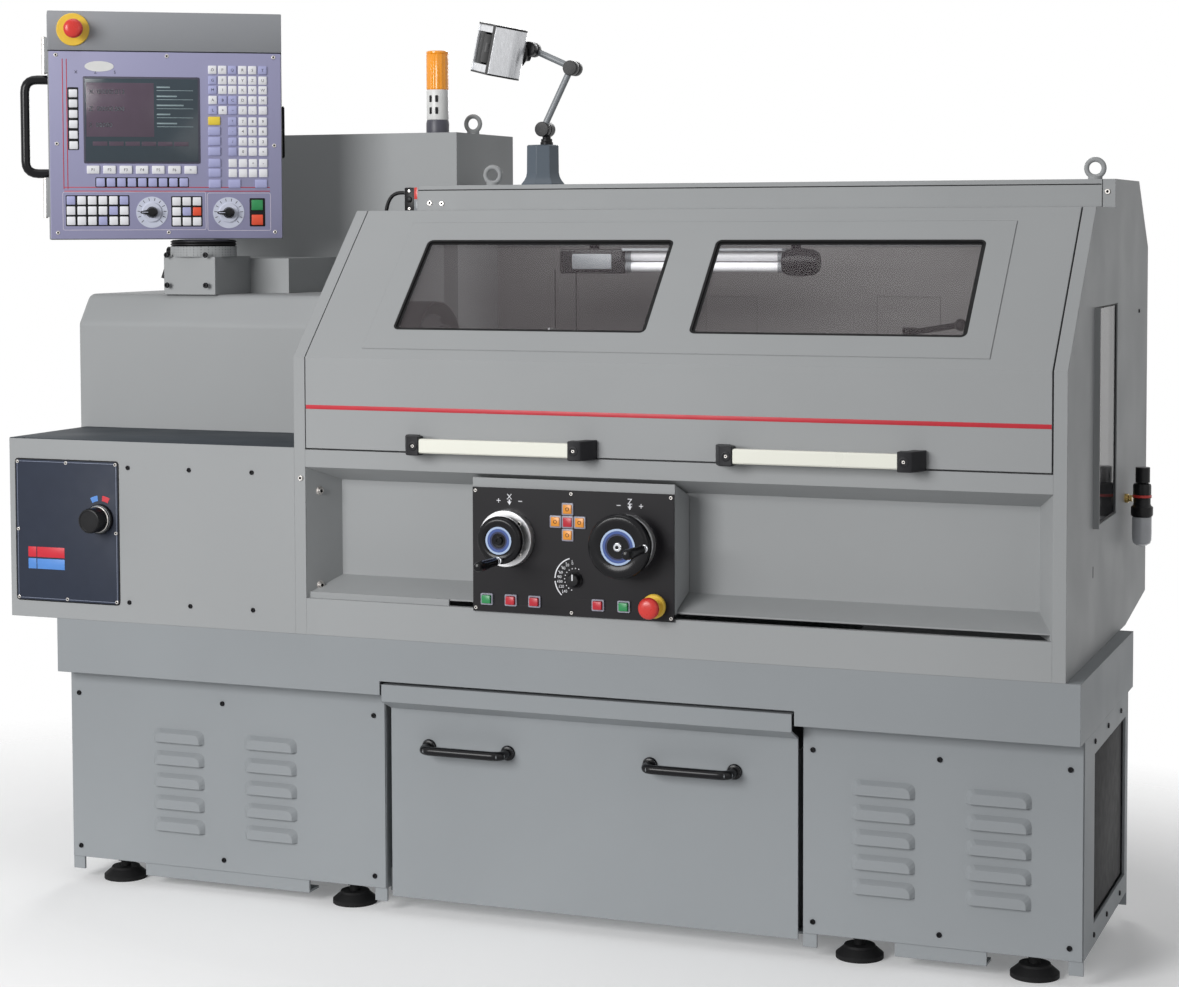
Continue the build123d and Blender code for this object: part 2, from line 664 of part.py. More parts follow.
casing_back_y = electric_y[1] - electric_rim
cabinet_leaf_y = (casing_back_y + slide_gap, casing_back_y + slide_gap + sheet)
cabinet_hinge_x = electric_x[0] - hinge_radius - 1
hinge_heights = (electric_z[0] + 140, electric_z[1] - 200)

with BuildPart() as electrical_cabinet:
    block(electric_x, (electric_y[0], casing_back_y), electric_z)
    block((electric_x[0] + sheet, electric_x[1] - sheet), (electric_y[0] + sheet, electric_y[1]),
          (electric_z[0] + sheet, electric_z[1] - sheet), mode=Mode.SUBTRACT)
    for z in hinge_heights:
        rod(hinge_radius, (cabinet_hinge_x, cabinet_leaf_y[0], z), (cabinet_hinge_x, cabinet_leaf_y[0], z + 30 - slide_gap))
        block((cabinet_hinge_x, electric_x[0]), (cabinet_leaf_y[0] - 4, cabinet_leaf_y[0] - 1), (z, z + 30 - slide_gap))

with BuildPart() as cabinet_door:
    block(electric_x, cabinet_leaf_y, electric_z)
    handle_x = electric_x[1] - 60
    block((handle_x - 12, handle_x + 12), (cabinet_leaf_y[1], electric_y[1] + 12), (1010, 1130))
    for z in hinge_heights:
        rod(hinge_radius, (cabinet_hinge_x, cabinet_leaf_y[0], z + 30), (cabinet_hinge_x, cabinet_leaf_y[0], z + 60))
        block((cabinet_hinge_x, electric_x[0] + 1), (cabinet_leaf_y[0], cabinet_leaf_y[1]), (z + 30, z + 60))

with BuildPart() as lifting_eyes:
    eye_spots = ((right_x - 63, front_y + 640, roof_z), (guard_left_x + 145, front_y + 640, roof_z),
                 (electric_x[1] - 27, electric_y[0] + 150, electric_z[1]))
    for x, y, z in eye_spots:
        rod(eye_collar, (x, y, z), (x, y, z + eye_wire + 3))
        with Locations(Plane(origin=(x, y, z + eye_height), z_dir=(0, 1, 0))):
            Torus(eye_ring, eye_wire)

with BuildPart() as signal_tower:
    for radius, low, high in ((22, 0, 38), (27, 38, 100), (25, 100, 103), (27, 103, 178), (20, 178, 182)):
        rod(radius, (*tower_spot, electric_z[1] + low), (*tower_spot, electric_z[1] + high))

with BuildPart() as work_light:
    rod(light_radius, (light_x[0] + 30, *light_spot), (light_x[1] - 30, *light_spot))
    for x in (light_x[0], light_x[1] - light_end):
        with BuildSketch(across(x)):
            with Locations(light_spot):
                RectangleRounded(2 * light_radius + 12, 2 * light_radius + 8, 12)
        extrude(amount=light_end)
        block((x + 20, x + light_end - 20), (light_spot[0] - 8, light_spot[0] + 8),
              (light_spot[1] + light_radius, roof_z - sheet))

# Guard door with its windows and handles

slope_length = math.hypot(slope_setback, slope_top_z - slope_start_z)
slope_normal = (0, -(slope_top_z - slope_start_z) / slope_length, slope_setback / slope_length)
slope_plane = Plane(origin=(0, front_y, slope_start_z), x_dir=(1, 0, 0), z_dir=slope_normal)
window_spots = [(frame_x[0] + window_margin + window_width / 2, sum(window_v) / 2),
                (frame_x[1] - window_margin - window_width / 2, sum(window_v) / 2)]
window_height = window_v[1] - window_v[0]

with BuildPart() as guard_door:
    with BuildSketch(across(door_x[0])):
        Polygon((front_y, door_bottom_z), (front_y, slope_start_z), (slope_back_y, slope_top_z),
                (door_back_y, slope_top_z), (door_back_y, slope_top_z - sheet),
                *inner_fold[1:3], (front_y + sheet, door_bottom_z + sheet),
                (front_y + door_lip, door_bottom_z + sheet), (front_y + door_lip, door_bottom_z), align=None)
    extrude(amount=door_x[1] - door_x[0])
    for x in (door_x[0], door_x[1] - sheet):
        with BuildSketch(across(x)):
            Polygon((front_y + 1, door_bottom_z), (front_y + 1, slope_start_z - 1),
                    (slope_back_y, slope_top_z - 1), (door_back_y, slope_top_z - 1),
                    (door_back_y, slope_top_z - 16), (slope_back_y + 8, slope_top_z - 22),
                    (front_y + door_lip, slope_start_z - 8), (front_y + door_lip, door_bottom_z), align=None)
        extrude(amount=sheet)
    with BuildSketch(slope_plane):
        with Locations((sum(frame_x) / 2, sum(frame_v) / 2)):
            Rectangle(frame_x[1] - frame_x[0], frame_v[1] - frame_v[0])
    extrude(amount=frame_rise)
    for spot in window_spots:
        with BuildSketch(slope_plane):
            with Locations(spot):
                RectangleRounded(window_width, window_height, window_corner)
        extrude(amount=30, both=True, mode=Mode.SUBTRACT)
    for x in knuckle_spots:
        leaf_x = (x - knuckle_length, x)
        rod(hinge_radius, (leaf_x[0], hinge_y, hinge_z), (leaf_x[1], hinge_y, hinge_z))
        block(leaf_x, (hinge_y - 2, hinge_y + 2), (hinge_z, slope_top_z - sheet + 1))

with BuildPart() as door_windows:
    for spot in window_spots:
        with BuildSketch(slope_plane.offset(-sheet - glass)):
            with Locations(spot):
                RectangleRounded(window_width + 2 * glass_lap, window_height + 2 * glass_lap,
                                 window_corner + glass_lap / 2)
        extrude(amount=glass)

with BuildPart() as door_handles:
    door_middle = sum(door_x) / 2
    for centre in (door_middle - handle_spacing / 2, door_middle + handle_spacing / 2):
        bar_y = front_y - handle_reach + 2
        with BuildSketch(Plane.XY.offset(handle_z - bar_height / 2)):
            with Locations((centre, bar_y + bar_depth / 2)):
                RectangleRounded(handle_length - 2 * bracket_length + 16, bar_depth, 3)
        extrude(amount=bar_height)
        for side in (-1, 1):
            with BuildSketch(Plane.XY.offset(handle_z - bracket_height / 2)):
                Polygon(*[(centre + side * (handle_length / 2 - x), front_y - y)
                          for x, y in ((0, 0), (0, 12), (16, handle_reach), (bracket_length, handle_reach),
                                       (bracket_length, 24), (30, 22), (24, 0))], align=None)
            extrude(amount=bracket_height)

# Saddle, cross slide and tool post

with BuildPart() as saddle:
    block(saddle_x, saddle_y, saddle_z)
    apron_y = (saddle_y[0], saddle_y[0] + apron)
    block(carrier_x, apron_y, (carrier_z[0], saddle_z[0] + 1))
    block(carrier_x, (front_y + 1, apron_y[0] + 1), carrier_z)
    block(carrier_x, (front_y + 1, front_y + 9), (carrier_z[0], box_bottom_z))

with BuildPart() as cross_slide:
    block(cross_x, cross_y, cross_z)

with BuildPart() as tool_post:
    with BuildSketch(Plane.XY.offset(cross_z[1])):
        with Locations(post_spot):
            RectangleRounded(post_size, post_size, 8)
    extrude(amount=post_height)
    slot_middle = cross_z[1] + 53
    for turn in range(4):
        centre = polar(50, turn * 90, post_spot)
        with Locations((*centre, slot_middle)):
            Box(130, 24, tool_slot, rotation=(0, 0, 90 + turn * 90), mode=Mode.SUBTRACT)
    rod(13, (*post_spot, cross_z[1] + post_height), (*post_spot, cross_z[1] + post_height + 30))

# Carriage control box

stop_plane = upright(stop_spot[0], face_y, stop_spot[1])

with BuildPart() as control_box:
    box_back_y = box_y + box_depth
    chute_rise = (chute_back_z - chute_edge[1]) / (recess_depth - chute_edge[0])
    with BuildSketch(across(box_x[0])):
        Polygon((box_y, box_bottom_z), (box_y, box_top_z), (box_back_y, box_top_z - box_slope),
                (box_back_y, box_bottom_z + 8 + (box_depth - 14) * chute_rise),
                (box_y + 14, box_bottom_z + 8), (front_y + 9, box_bottom_z), align=None)
    extrude(amount=box_x[1] - box_x[0])
    block((box_x[0] + 1, box_x[1] - 1), (face_y, box_y), face_z)
    for x, z in (x_wheel_spot, z_wheel_spot):
        rod(flange_radius, (x, face_y - flange_depth, z), (x, face_y, z))
        rod(wheel_bore + turn_gap, (x, face_y - flange_depth - 1, z), (x, front_y + 40, z),
            mode=Mode.SUBTRACT)
    rod(jog_radius / 3 + turn_gap, (jog_spot[0], face_y - 1, jog_spot[1]),
        (jog_spot[0], front_y + 30, jog_spot[1]), mode=Mode.SUBTRACT)
    for inset in button_insets:
        x = carriage_x + inset
        half_width, half_height = (size / 2 + socket_gap for size in button_shank)
        block((x - half_width, x + half_width), (face_y - 1, front_y + 20),
              (button_row_z - half_height, button_row_z + half_height), mode=Mode.SUBTRACT)
    with BuildSketch(stop_plane):
        Circle(stop_radius + 2)
    extrude(amount=8)
    with BuildSketch(stop_plane.offset(9)):
        Circle(stop_shank + socket_gap)
    extrude(amount=-30, mode=Mode.SUBTRACT)
    for column, row in ((0, 0), (1, 0), (-1, 0), (0, 1), (0, -1)):
        x = axis_key_spot[0] + column * axis_key_pitch
        z = axis_key_spot[1] + row * axis_key_pitch
        block((x - axis_key / 2, x + axis_key / 2), (face_y - 5, face_y),
              (z - axis_key / 2, z + axis_key / 2))


def handwheel(spot, rim_radius, reach, crank):
    """A dished handwheel on a hub, turning in front of its flange, with a crank handle."""
    x, z = spot
    back = flange_depth + slide_gap
    with BuildSketch(Plane(origin=(x, face_y, z), x_dir=(1, 0, 0), z_dir=(0, 0, 1))) as section:
        Polygon((0, -back), (rim_radius - 14, -back), (rim_radius - 4, -back - 5), (rim_radius, -back - 11),
                (rim_radius, 6 - reach), (rim_radius - 4, -reach), (rim_radius - 11, -reach),
                (rim_radius - 17, 8 - reach), (20, 8 - reach), (16, 2 - reach), (0, 2 - reach), align=None)
    revolve(section.sketch, axis=Axis((x, face_y, z), (0, 1, 0)))
    rod(wheel_bore, (x, face_y - back - 1, z), (x, front_y + 36, z))
    with BuildSketch(Plane(origin=(crank[0], face_y, crank[1]), x_dir=(1, 0, 0), z_dir=(0, 0, 1))) as grip:
        Polygon((0, 12 - reach), (6, 12 - reach), (6, -reach - 22), (crank_radius - 1, -reach - 24),
                (crank_radius + 2, -reach - crank_length + 30), (crank_radius, -reach - crank_length + 6),
                (crank_radius - 4, -reach - crank_length), (0, -reach - crank_length), align=None)
    revolve(grip.sketch, axis=Axis((crank[0], face_y, crank[1]), (0, 1, 0)))


with BuildPart() as x_handwheel:
    handwheel(x_wheel_spot, x_wheel_radius, x_wheel_reach,
              (x_wheel_spot[0], x_wheel_spot[1] - x_wheel_radius + 8))

with BuildPart() as z_handwheel:
    handwheel(z_wheel_spot, z_wheel_radius, z_wheel_reach,
              (z_wheel_spot[0] + z_wheel_radius - 8, z_wheel_spot[1]))

with BuildPart() as jog_knob:
    x, z = jog_spot
    rod(jog_radius, (x, face_y - 14, z), (x, face_y - slide_gap, z))
    block((x - 3, x + 3), (face_y - 20, face_y - 13), (z - jog_radius + 2, z + jog_radius - 2))
    rod(jog_radius / 3, (x, face_y - 1, z), (x, front_y + 28, z))

button_parts = {}
for name, inset in zip(button_names, button_insets):
    with BuildPart() as button:
        x = carriage_x + inset
        half_width, half_height = (size / 2 for size in button_shank)
        block((x - half_width, x + half_width), (face_y - 4, face_y + press_depth + 2),
              (button_row_z - half_height, button_row_z + half_height))
        block((x - button_width / 2, x + button_width / 2), (face_y - 9, face_y - 4),
              (button_row_z - button_height / 2, button_row_z + button_height / 2))
        fillet(button.faces().sort_by(Axis.Y)[0].edges(), 1)
    button_parts[name] = button


def mushroom(face_plane, shank_depth):
    """A mushroom-headed stop on the face plane, its shank sunk in its socket."""
    with BuildSketch(face_plane.offset(-shank_depth)) as shank:
        Circle(stop_shank)
    extrude(shank.sketch, amount=shank_depth + 26)
    with BuildSketch(face_plane.offset(26)) as head:
        Circle(stop_radius)
    extrude(head.sketch, amount=15, taper=12)


with BuildPart() as carriage_stop:
    mushroom(stop_plane, press_depth)

# Tailstock

with BuildPart() as tailstock:
    tail_y = (bed_y[0] + 10, bed_y[1] - 10)
    base_z = way_top_z + slide_gap
    corner = tail_barrel / 2
    with BuildSketch(across(tail_x[0])):
        Polygon((tail_y[0], base_z), (tail_y[0], base_z + tail_base), (spindle_y - tail_barrel, spindle_z - 40),
                (spindle_y - tail_barrel, spindle_z + corner), (spindle_y - corner, spindle_z + tail_barrel),
                (spindle_y + corner, spindle_z + tail_barrel), (spindle_y + tail_barrel, spindle_z + corner),
                (spindle_y + tail_barrel, spindle_z - 40), (tail_y[1], base_z + tail_base),
                (tail_y[1], base_z), align=None)
    extrude(amount=tail_x[1] - tail_x[0])
    boss_x = tail_x[1] + tail_boss
    rod(48, (tail_x[1], spindle_y, spindle_z), (boss_x, spindle_y, spindle_z))
    rod(quill_radius + turn_gap, (tail_x[0] - 1, spindle_y, spindle_z),
        (tail_x[1] - 20, spindle_y, spindle_z), mode=Mode.SUBTRACT)
    rod(tail_screw + turn_gap, (tail_x[1] - 30, spindle_y, spindle_z), (boss_x + 10, spindle_y, spindle_z),
        mode=Mode.SUBTRACT)
    rod(clamp_radius + turn_gap, (clamp_x, spindle_y, spindle_z + 34), (clamp_x, spindle_y, spindle_z + 70),
        mode=Mode.SUBTRACT)

with BuildPart() as quill:
    quill_x = tail_x[0] - quill_reach
    rod(quill_radius, (quill_x, spindle_y, spindle_z), (quill_x + quill_length, spindle_y, spindle_z))
    with Locations(Plane(origin=(quill_x, spindle_y, spindle_z), z_dir=(-1, 0, 0))):
        Cone(15, 0.6, 26, align=(Align.CENTER, Align.CENTER, Align.MIN))

with BuildPart() as tailstock_wheel:
    wheel_x = boss_x + slide_gap
    rim = tail_wheel_radius
    with BuildSketch(upright(wheel_x, spindle_y, spindle_z)):
        Polygon((0, 0), (0, 22), (8, 22), (14, rim - 14), (8, rim - 12), (8, rim), (26, rim), (26, rim - 12),
                (22, rim - 14), (16, 22), (30, 20), (30, 0), align=None)
    revolve(axis=Axis((wheel_x, spindle_y, spindle_z), (1, 0, 0)))
    rod(tail_screw, (tail_x[1] - 16, spindle_y, spindle_z), (wheel_x + 1, spindle_y, spindle_z))
    rod(arm_radius, (wheel_x + 20, spindle_y, spindle_z + rim - 14), (wheel_x + 74, spindle_y, spindle_z + rim - 14))

with BuildPart() as tailstock_lever:
    pivot = (clamp_x, spindle_y)
    grip = (clamp_x + 114, spindle_y - 62, spindle_z + 93)
    rod(clamp_radius, (*pivot, spindle_z + 36), (*pivot, spindle_z + 84))
    rod(14, (*pivot, spindle_z + tail_barrel + slide_gap), (*pivot, spindle_z + 84))
    rod(6, (*pivot, spindle_z + 74), grip)
    with Locations(grip):
        Sphere(12)

# Chuck, jaws and hood

with BuildPart() as chuck:
    chuck_face_x = chuck_x + chuck_length
    rod(spindle_radius, (headstock_x[0] + 10, spindle_y, spindle_z), (chuck_x, spindle_y, spindle_z))
    rod(chuck_radius, (chuck_x, spindle_y, spindle_z), (chuck_face_x, spindle_y, spindle_z))
    rod(chuck_bore, (headstock_x[0], spindle_y, spindle_z), (chuck_face_x + 1, spindle_y, spindle_z),
        mode=Mode.SUBTRACT)
    chamfer(chuck.edges().filter_by(GeomType.CIRCLE).filter_by(
        lambda e: abs(e.radius - chuck_radius) < 0.1), 3)
    for jaw in range(jaw_count):
        with Locations(Plane(origin=(chuck_face_x, spindle_y, spindle_z), z_dir=(1, 0, 0))):
            with Locations(Location((0, 0, 0), (0, 0, 90 + jaw * 360 / jaw_count))):
                with Locations((chuck_radius / 2 + 12, 0, -11)):
                    Box(chuck_radius - 14, jaw_width + 2 * jaw_gap, jaw_base[1] + 1 + 2 * jaw_gap,
                        mode=Mode.SUBTRACT)

jaw_parts = []
for jaw in range(jaw_count):
    with BuildPart() as jaw_part:
        with Locations(Plane(origin=(chuck_face_x, spindle_y, spindle_z), z_dir=(1, 0, 0))):
            with Locations(Location((0, 0, 0), (0, 0, 90 + jaw * 360 / jaw_count))):
                with Locations((chuck_radius / 2 + 10, 0, -jaw_base[1] / 2)):
                    Box(jaw_base[0], jaw_width, jaw_base[1])
                with Locations((chuck_radius / 2 + 6, 0, jaw_step[1] / 2)):
                    Box(jaw_step[0], jaw_width - 6, jaw_step[1])
                with Locations((chuck_radius / 2 - 4, 0, jaw_step[1] + jaw_tip[1] / 2)):
                    Box(jaw_tip[0], jaw_width - 6, jaw_tip[1])
    jaw_parts.append(jaw_part)

with BuildPart() as chuck_hood:
    hood_x = guard_left_x + sheet + slide_gap
    spindle_spot = (spindle_y, spindle_z)
    hood_to = hood_from + hood_sweep
    with BuildSketch(across(hood_x)):
        with BuildLine():
            CenterArc(spindle_spot, hood_radius, hood_from, hood_sweep)
            CenterArc(spindle_spot, hood_radius - sheet, hood_from, hood_sweep)
            for angle in (hood_from, hood_to):
                Line(polar(hood_radius - sheet, angle, spindle_spot), polar(hood_radius, angle, spindle_spot))
        make_face()
    extrude(amount=hood_width)
    hood_hinge = polar(hood_radius, hood_from, spindle_spot)
    hood_pin = (hood_hinge[0] + 8, hood_hinge[1])
    rod(9, (hood_x, *hood_pin), (hood_x + hood_width - 10, *hood_pin))

# Control panel and its arm

turn = math.radians(panel_angle)
panel_along = (math.cos(turn), math.sin(turn), 0)
panel_out = (math.sin(turn), -math.cos(turn), 0)
panel_plane = Plane(origin=panel_centre, x_dir=panel_along, z_dir=panel_out)
lever_root = (pedestal_spot[0] - pedestal_radius, pedestal_spot[1])

with BuildPart() as panel_arm:
    block(arm_block_x, arm_block_y, arm_z)
    block(arm_x, (arm_block_y[1], electric_y[0]), (arm_z[0], arm_z[1] - 5))
    rod(pedestal_radius, (*pedestal_spot, collar_z[0]), (*pedestal_spot, collar_z[1]))
    rod(lever_radius + turn_gap, (lever_root[0] - 1, lever_root[1], lever_z),
        (lever_root[0] + 24, lever_root[1], lever_z), mode=Mode.SUBTRACT)


def panel_block(u, v, w):
    """Adds a box on the panel: u along its width, v up and w out of its face."""
    with BuildSketch(panel_plane.offset(w[0])) as outline:
        with Locations(((u[0] + u[1]) / 2, (v[0] + v[1]) / 2)):
            Rectangle(u[1] - u[0], v[1] - v[0])
    extrude(outline.sketch, amount=w[1] - w[0])


with BuildPart() as panel_housing:
    half_width, half_height = panel_width / 2, panel_height / 2
    panel_block((-half_width, half_width), (-half_height, half_height), (-panel_depth, -panel_face))
    panel_block((-half_width, half_width), (face_top + 2, half_height), (-panel_face - 1, 0))
    panel_block((-half_width + 2, half_width - 2), (2 - half_height, face_top), (-panel_face - 1, 0))
    for v in panel_hinge_v:
        panel_block((-half_width - 12, -half_width), v, (-24, -8))
    panel_block((half_width, half_width + 7), latch_v, (-34, -14))
    bar_u = -half_width - side_bar_reach
    for v in side_bar_v:
        root = panel_plane.from_local_coords((-half_width + 1, v, -30))
        tip = panel_plane.from_local_coords((bar_u, v, -30))
        rod(side_bar_radius, tuple(root), tuple(tip))
    low_end = panel_plane.from_local_coords((bar_u, side_bar_v[0] - side_bar_radius, -30))
    high_end = panel_plane.from_local_coords((bar_u, side_bar_v[1] + side_bar_radius, -30))
    rod(side_bar_radius, tuple(low_end), tuple(high_end))
    with BuildSketch(panel_plane.offset(1)):
        with Locations(panel_stop_spot):
            Circle(stop_shank + socket_gap)
    extrude(amount=-2 * press_depth, mode=Mode.SUBTRACT)
    rod(pedestal_radius, (*pedestal_spot, collar_z[1] + slide_gap),
        (*pedestal_spot, panel_centre[2] - half_height + 1))

with BuildPart() as panel_lever:
    hub_x = lever_root[0] - slide_gap
    rod(lever_radius, (hub_x + 22, lever_root[1], lever_z), (hub_x - 8, lever_root[1], lever_z))
    rod(10, (hub_x, lever_root[1], lever_z), (hub_x - 16, lever_root[1], lever_z))
    rod(5, (hub_x - 8, lever_root[1], lever_z), (hub_x - 24, lever_root[1] - 10, lever_z - 58))

dial_parts = {}
for name, spot in (("feed_dial", feed_dial_spot), ("speed_dial", speed_dial_spot)):
    with BuildPart() as dial:
        with BuildSketch(panel_plane.offset(slide_gap)):
            with Locations(spot):
                Circle(dial_radius)
        extrude(amount=dial_height)
    dial_parts[name] = dial

with BuildPart() as panel_stop:
    stop_origin = panel_plane.from_local_coords((*panel_stop_spot, 0))
    mushroom(Plane(origin=stop_origin, x_dir=panel_along, z_dir=panel_out), press_depth)

# Work lamp

with BuildPart() as lamp_base:
    for low, high, size in ((0, 6, 50), (6, lamp_base_height, 42)):
        with BuildSketch(Plane.XY.offset(roof_z + low)):
            with Locations((lamp_x, lamp_y)):
                RegularPolygon(size, 8)
        with BuildSketch(Plane.XY.offset(roof_z + high)):
            with Locations((lamp_x, lamp_y)):
                RegularPolygon(size if low == 0 else 33, 8)
        loft()
    rod(12, (elbow[0], lamp_y + 10, roof_z + lamp_base_height - 6),
        (elbow[0], lamp_y + 10, roof_z + lamp_base_height + 12))


def joint_disc(spot, side):
    """One half of a lamp joint: a disc beside the joint's middle plane."""
    near, far = side * slide_gap / 2, side * joint_length
    rod(joint_radius, (spot[0], lamp_y + near, spot[1]), (spot[0], lamp_y + far, spot[1]))


def lamp_tube(start, end, side):
    """A lamp arm between two joints, half a joint away from the middle plane."""
    y = lamp_y + side * joint_length / 2
    rod(arm_radius, (start[0], y, start[1]), (end[0], y, end[1]))


with BuildPart() as lamp_turret:
    turret_y = lamp_y + joint_length / 2
    rod(9, (elbow[0], turret_y, roof_z + lamp_base_height + 12 + slide_gap), (elbow[0], turret_y, elbow[1]))
    joint_disc(elbow, 1)

with BuildPart() as lamp_lower_arm:
    joint_disc(elbow, -1)
    lamp_tube(elbow, knee, -1)
    joint_disc(knee, -1)

with BuildPart() as lamp_upper_arm:
    joint_disc(knee, 1)
    lamp_tube(knee, neck, 1)
    joint_disc(neck, 1)

swing, tilt = math.radians(head_swing), math.radians(head_tilt)
head_back = Vector(math.cos(swing) * math.cos(tilt), math.sin(swing), -math.cos(swing) * math.sin(tilt))
head_up = Vector(math.sin(tilt), 0, math.cos(tilt))
head_end = Vector(neck[0], lamp_y, neck[1]) - head_back * head_bracket
head_origin = head_end - head_back * head_depth - head_up * (head_height / 2 + head_drop)
head_plane = Plane(origin=head_origin, x_dir=head_back, z_dir=head_up)


def shade_outline(inset, front):
    """The lamp head seen from above: straight sides and a round back, open at the front."""
    radius = head_width / 2 - inset
    start = head_depth - head_width / 2
    with BuildLine() as outline:
        Polyline((start, radius), (front, radius), (front, -radius), (start, -radius))
        ThreePointArc((start, -radius), (start + radius, 0), (start, radius))
    make_face(outline.edges())


with BuildPart() as lamp_head:
    with BuildSketch(head_plane):
        shade_outline(0, 0)
    extrude(amount=head_height)
    with BuildSketch(head_plane.offset(head_cap)):
        shade_outline(head_wall, -5)
    extrude(amount=head_height - 2 * head_cap, mode=Mode.SUBTRACT)
    socket = head_origin + head_up * (head_height / 2)
    rod(15, tuple(socket + head_back * (head_depth - 32)), tuple(socket + head_back * (head_depth - 1)))
    bracket_root = head_end - head_back * 1
    rod(16, tuple(bracket_root), tuple(bracket_root + head_back * 6))
    joint_disc(neck, -1)
    rod(7, tuple(bracket_root), (neck[0], lamp_y - joint_length / 2, neck[1]))

# Air unit on the right wall and the speed range selector

with BuildPart() as air_unit:
    x, y = air_spot
    block((x - 22, x + 22), (y - 24, y + 24), air_body_z)
    rod(air_bowl, (x, y, air_body_z[0] - 58), (x, y, air_body_z[0]))
    rod(8, (right_x, y, air_pipe_z), (x - 20, y, air_pipe_z))
    rod(jog_radius / 3 + turn_gap, (x, y, air_body_z[1] - 10), (x, y, air_body_z[1] + 1), mode=Mode.SUBTRACT)

with BuildPart() as air_knob:
    rod(14, (x, y, air_body_z[1] + slide_gap), (x, y, air_body_z[1] + 30))
    rod(jog_radius / 3, (x, y, air_body_z[1] - 8), (x, y, air_body_z[1] + 2))

with BuildPart() as selector_knob:
    rod(selector_stem, (selector_x, front_y + 8, selector_z), (selector_x, front_y - 1, selector_z))
    rod(selector_radius, (selector_x, front_y - slide_gap, selector_z), (selector_x, front_y - 16, selector_z))
    rod(selector_radius - 6, (selector_x, front_y - 16, selector_z), (selector_x, front_y - 46, selector_z))

# Files

pieces = {
    "left_cabinet": left_cabinet, "right_cabinet": right_cabinet, "louvred_covers": louvred_covers,
    "chip_pan": chip_pan, "leveling_feet": leveling_feet, "drawer": drawer, "bed": bed, "headstock": headstock,
    "gearbox_housing": gearbox_housing, "headstock_cover": headstock_cover,
    "guard_left_wall": guard_left_wall, "guard_right_wall": guard_right_wall,
    "side_window": side_window, "front_panel": front_panel, "top_beam": top_beam,
    "back_wall": back_wall, "electrical_cabinet": electrical_cabinet, "cabinet_door": cabinet_door,
    "lifting_eyes": lifting_eyes, "signal_tower": signal_tower, "work_light": work_light,
    "guard_door": guard_door, "door_windows": door_windows,
    "door_handles": door_handles, "saddle": saddle, "cross_slide": cross_slide, "tool_post": tool_post,
    "control_box": control_box, "x_handwheel": x_handwheel, "z_handwheel": z_handwheel,
    "jog_knob": jog_knob, "carriage_stop": carriage_stop, "tailstock": tailstock, "quill": quill,
    "tailstock_wheel": tailstock_wheel, "tailstock_lever": tailstock_lever, "chuck": chuck,
    "chuck_hood": chuck_hood, "panel_arm": panel_arm, "panel_housing": panel_housing,
    "panel_lever": panel_lever, "panel_stop": panel_stop, "lamp_base": lamp_base,
    "lamp_turret": lamp_turret, "lamp_lower_arm": lamp_lower_arm, "lamp_upper_arm": lamp_upper_arm,
    "lamp_head": lamp_head, "air_unit": air_unit, "air_knob": air_knob, "selector_knob": selector_knob,
    **button_parts, **dial_parts,
    **{f"jaw_{index + 1}": jaw_part for index, jaw_part in enumerate(jaw_parts)},
}
for name, piece in pieces.items():
    save(piece, name)
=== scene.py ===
"""Looks of the combination lathe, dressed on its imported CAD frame."""

import math

import bmesh
import bpy
from mathutils import Matrix, Vector

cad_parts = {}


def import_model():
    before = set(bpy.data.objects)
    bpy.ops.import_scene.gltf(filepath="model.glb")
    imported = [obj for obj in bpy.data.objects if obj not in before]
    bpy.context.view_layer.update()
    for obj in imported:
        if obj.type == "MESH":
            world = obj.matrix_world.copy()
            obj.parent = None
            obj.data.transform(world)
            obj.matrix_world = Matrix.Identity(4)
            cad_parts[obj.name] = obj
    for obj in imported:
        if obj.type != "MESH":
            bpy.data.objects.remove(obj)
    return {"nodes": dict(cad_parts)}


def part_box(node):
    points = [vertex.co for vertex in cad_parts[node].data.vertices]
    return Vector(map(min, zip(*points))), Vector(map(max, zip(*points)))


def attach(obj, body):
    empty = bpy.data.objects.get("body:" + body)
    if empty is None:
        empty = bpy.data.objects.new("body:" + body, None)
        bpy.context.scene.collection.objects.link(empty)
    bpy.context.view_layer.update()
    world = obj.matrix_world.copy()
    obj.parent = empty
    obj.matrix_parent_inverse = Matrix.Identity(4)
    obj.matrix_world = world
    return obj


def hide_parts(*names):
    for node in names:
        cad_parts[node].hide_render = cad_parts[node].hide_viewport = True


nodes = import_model()["nodes"]
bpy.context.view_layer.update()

# Places are given in millimetres from the guard's right front corner on the floor:
# X along the machine, Y towards the back, Z up. Lathe pieces are drawn in local frames,
# whose x runs along a face, y up it and z out of it.
CORNER = Vector((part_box("side_window")[1].x + 0.003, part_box("guard_right_wall")[0].y, 0.0))
MILLIMETRE = Matrix.Scale(0.001, 4)


def at(x, y, z):
    """The point x, y, z millimetres from the guard's corner."""
    return CORNER + Vector((x, y, z)) / 1000


def facing(spot, along=(1, 0, 0), up=(0, 0, 1)):
    """A local frame in millimetres on a face at spot."""
    x = Vector(along).normalized()
    z = x.cross(Vector(up)).normalized()
    turned = Matrix((x, z.cross(x), z)).transposed().to_4x4()
    return Matrix.Translation(spot) @ turned @ MILLIMETRE


def upright(x, y):
    """A local frame in millimetres that stands on the floor, its z upwards."""
    return facing(at(x, y, 0), up=(0, 1, 0))


SWIVEL = math.radians(34.4)
FRONT = facing(at(0, 0, 0))
SIDE = facing(at(0, 0, 0), along=(0, 1, 0))
TOP = upright(0, 0)
SLOPE = facing(at(0, 0, 1086), up=(0, 279, 284))
CHEEK = facing(at(-1472, 1, 0), along=(38, 82, 0))
PANEL = facing(at(-1953, 300, 1551), along=(math.cos(SWIVEL), math.sin(SWIVEL), 0))
BOX = facing(at(-1116, -5, 613))

# Materials

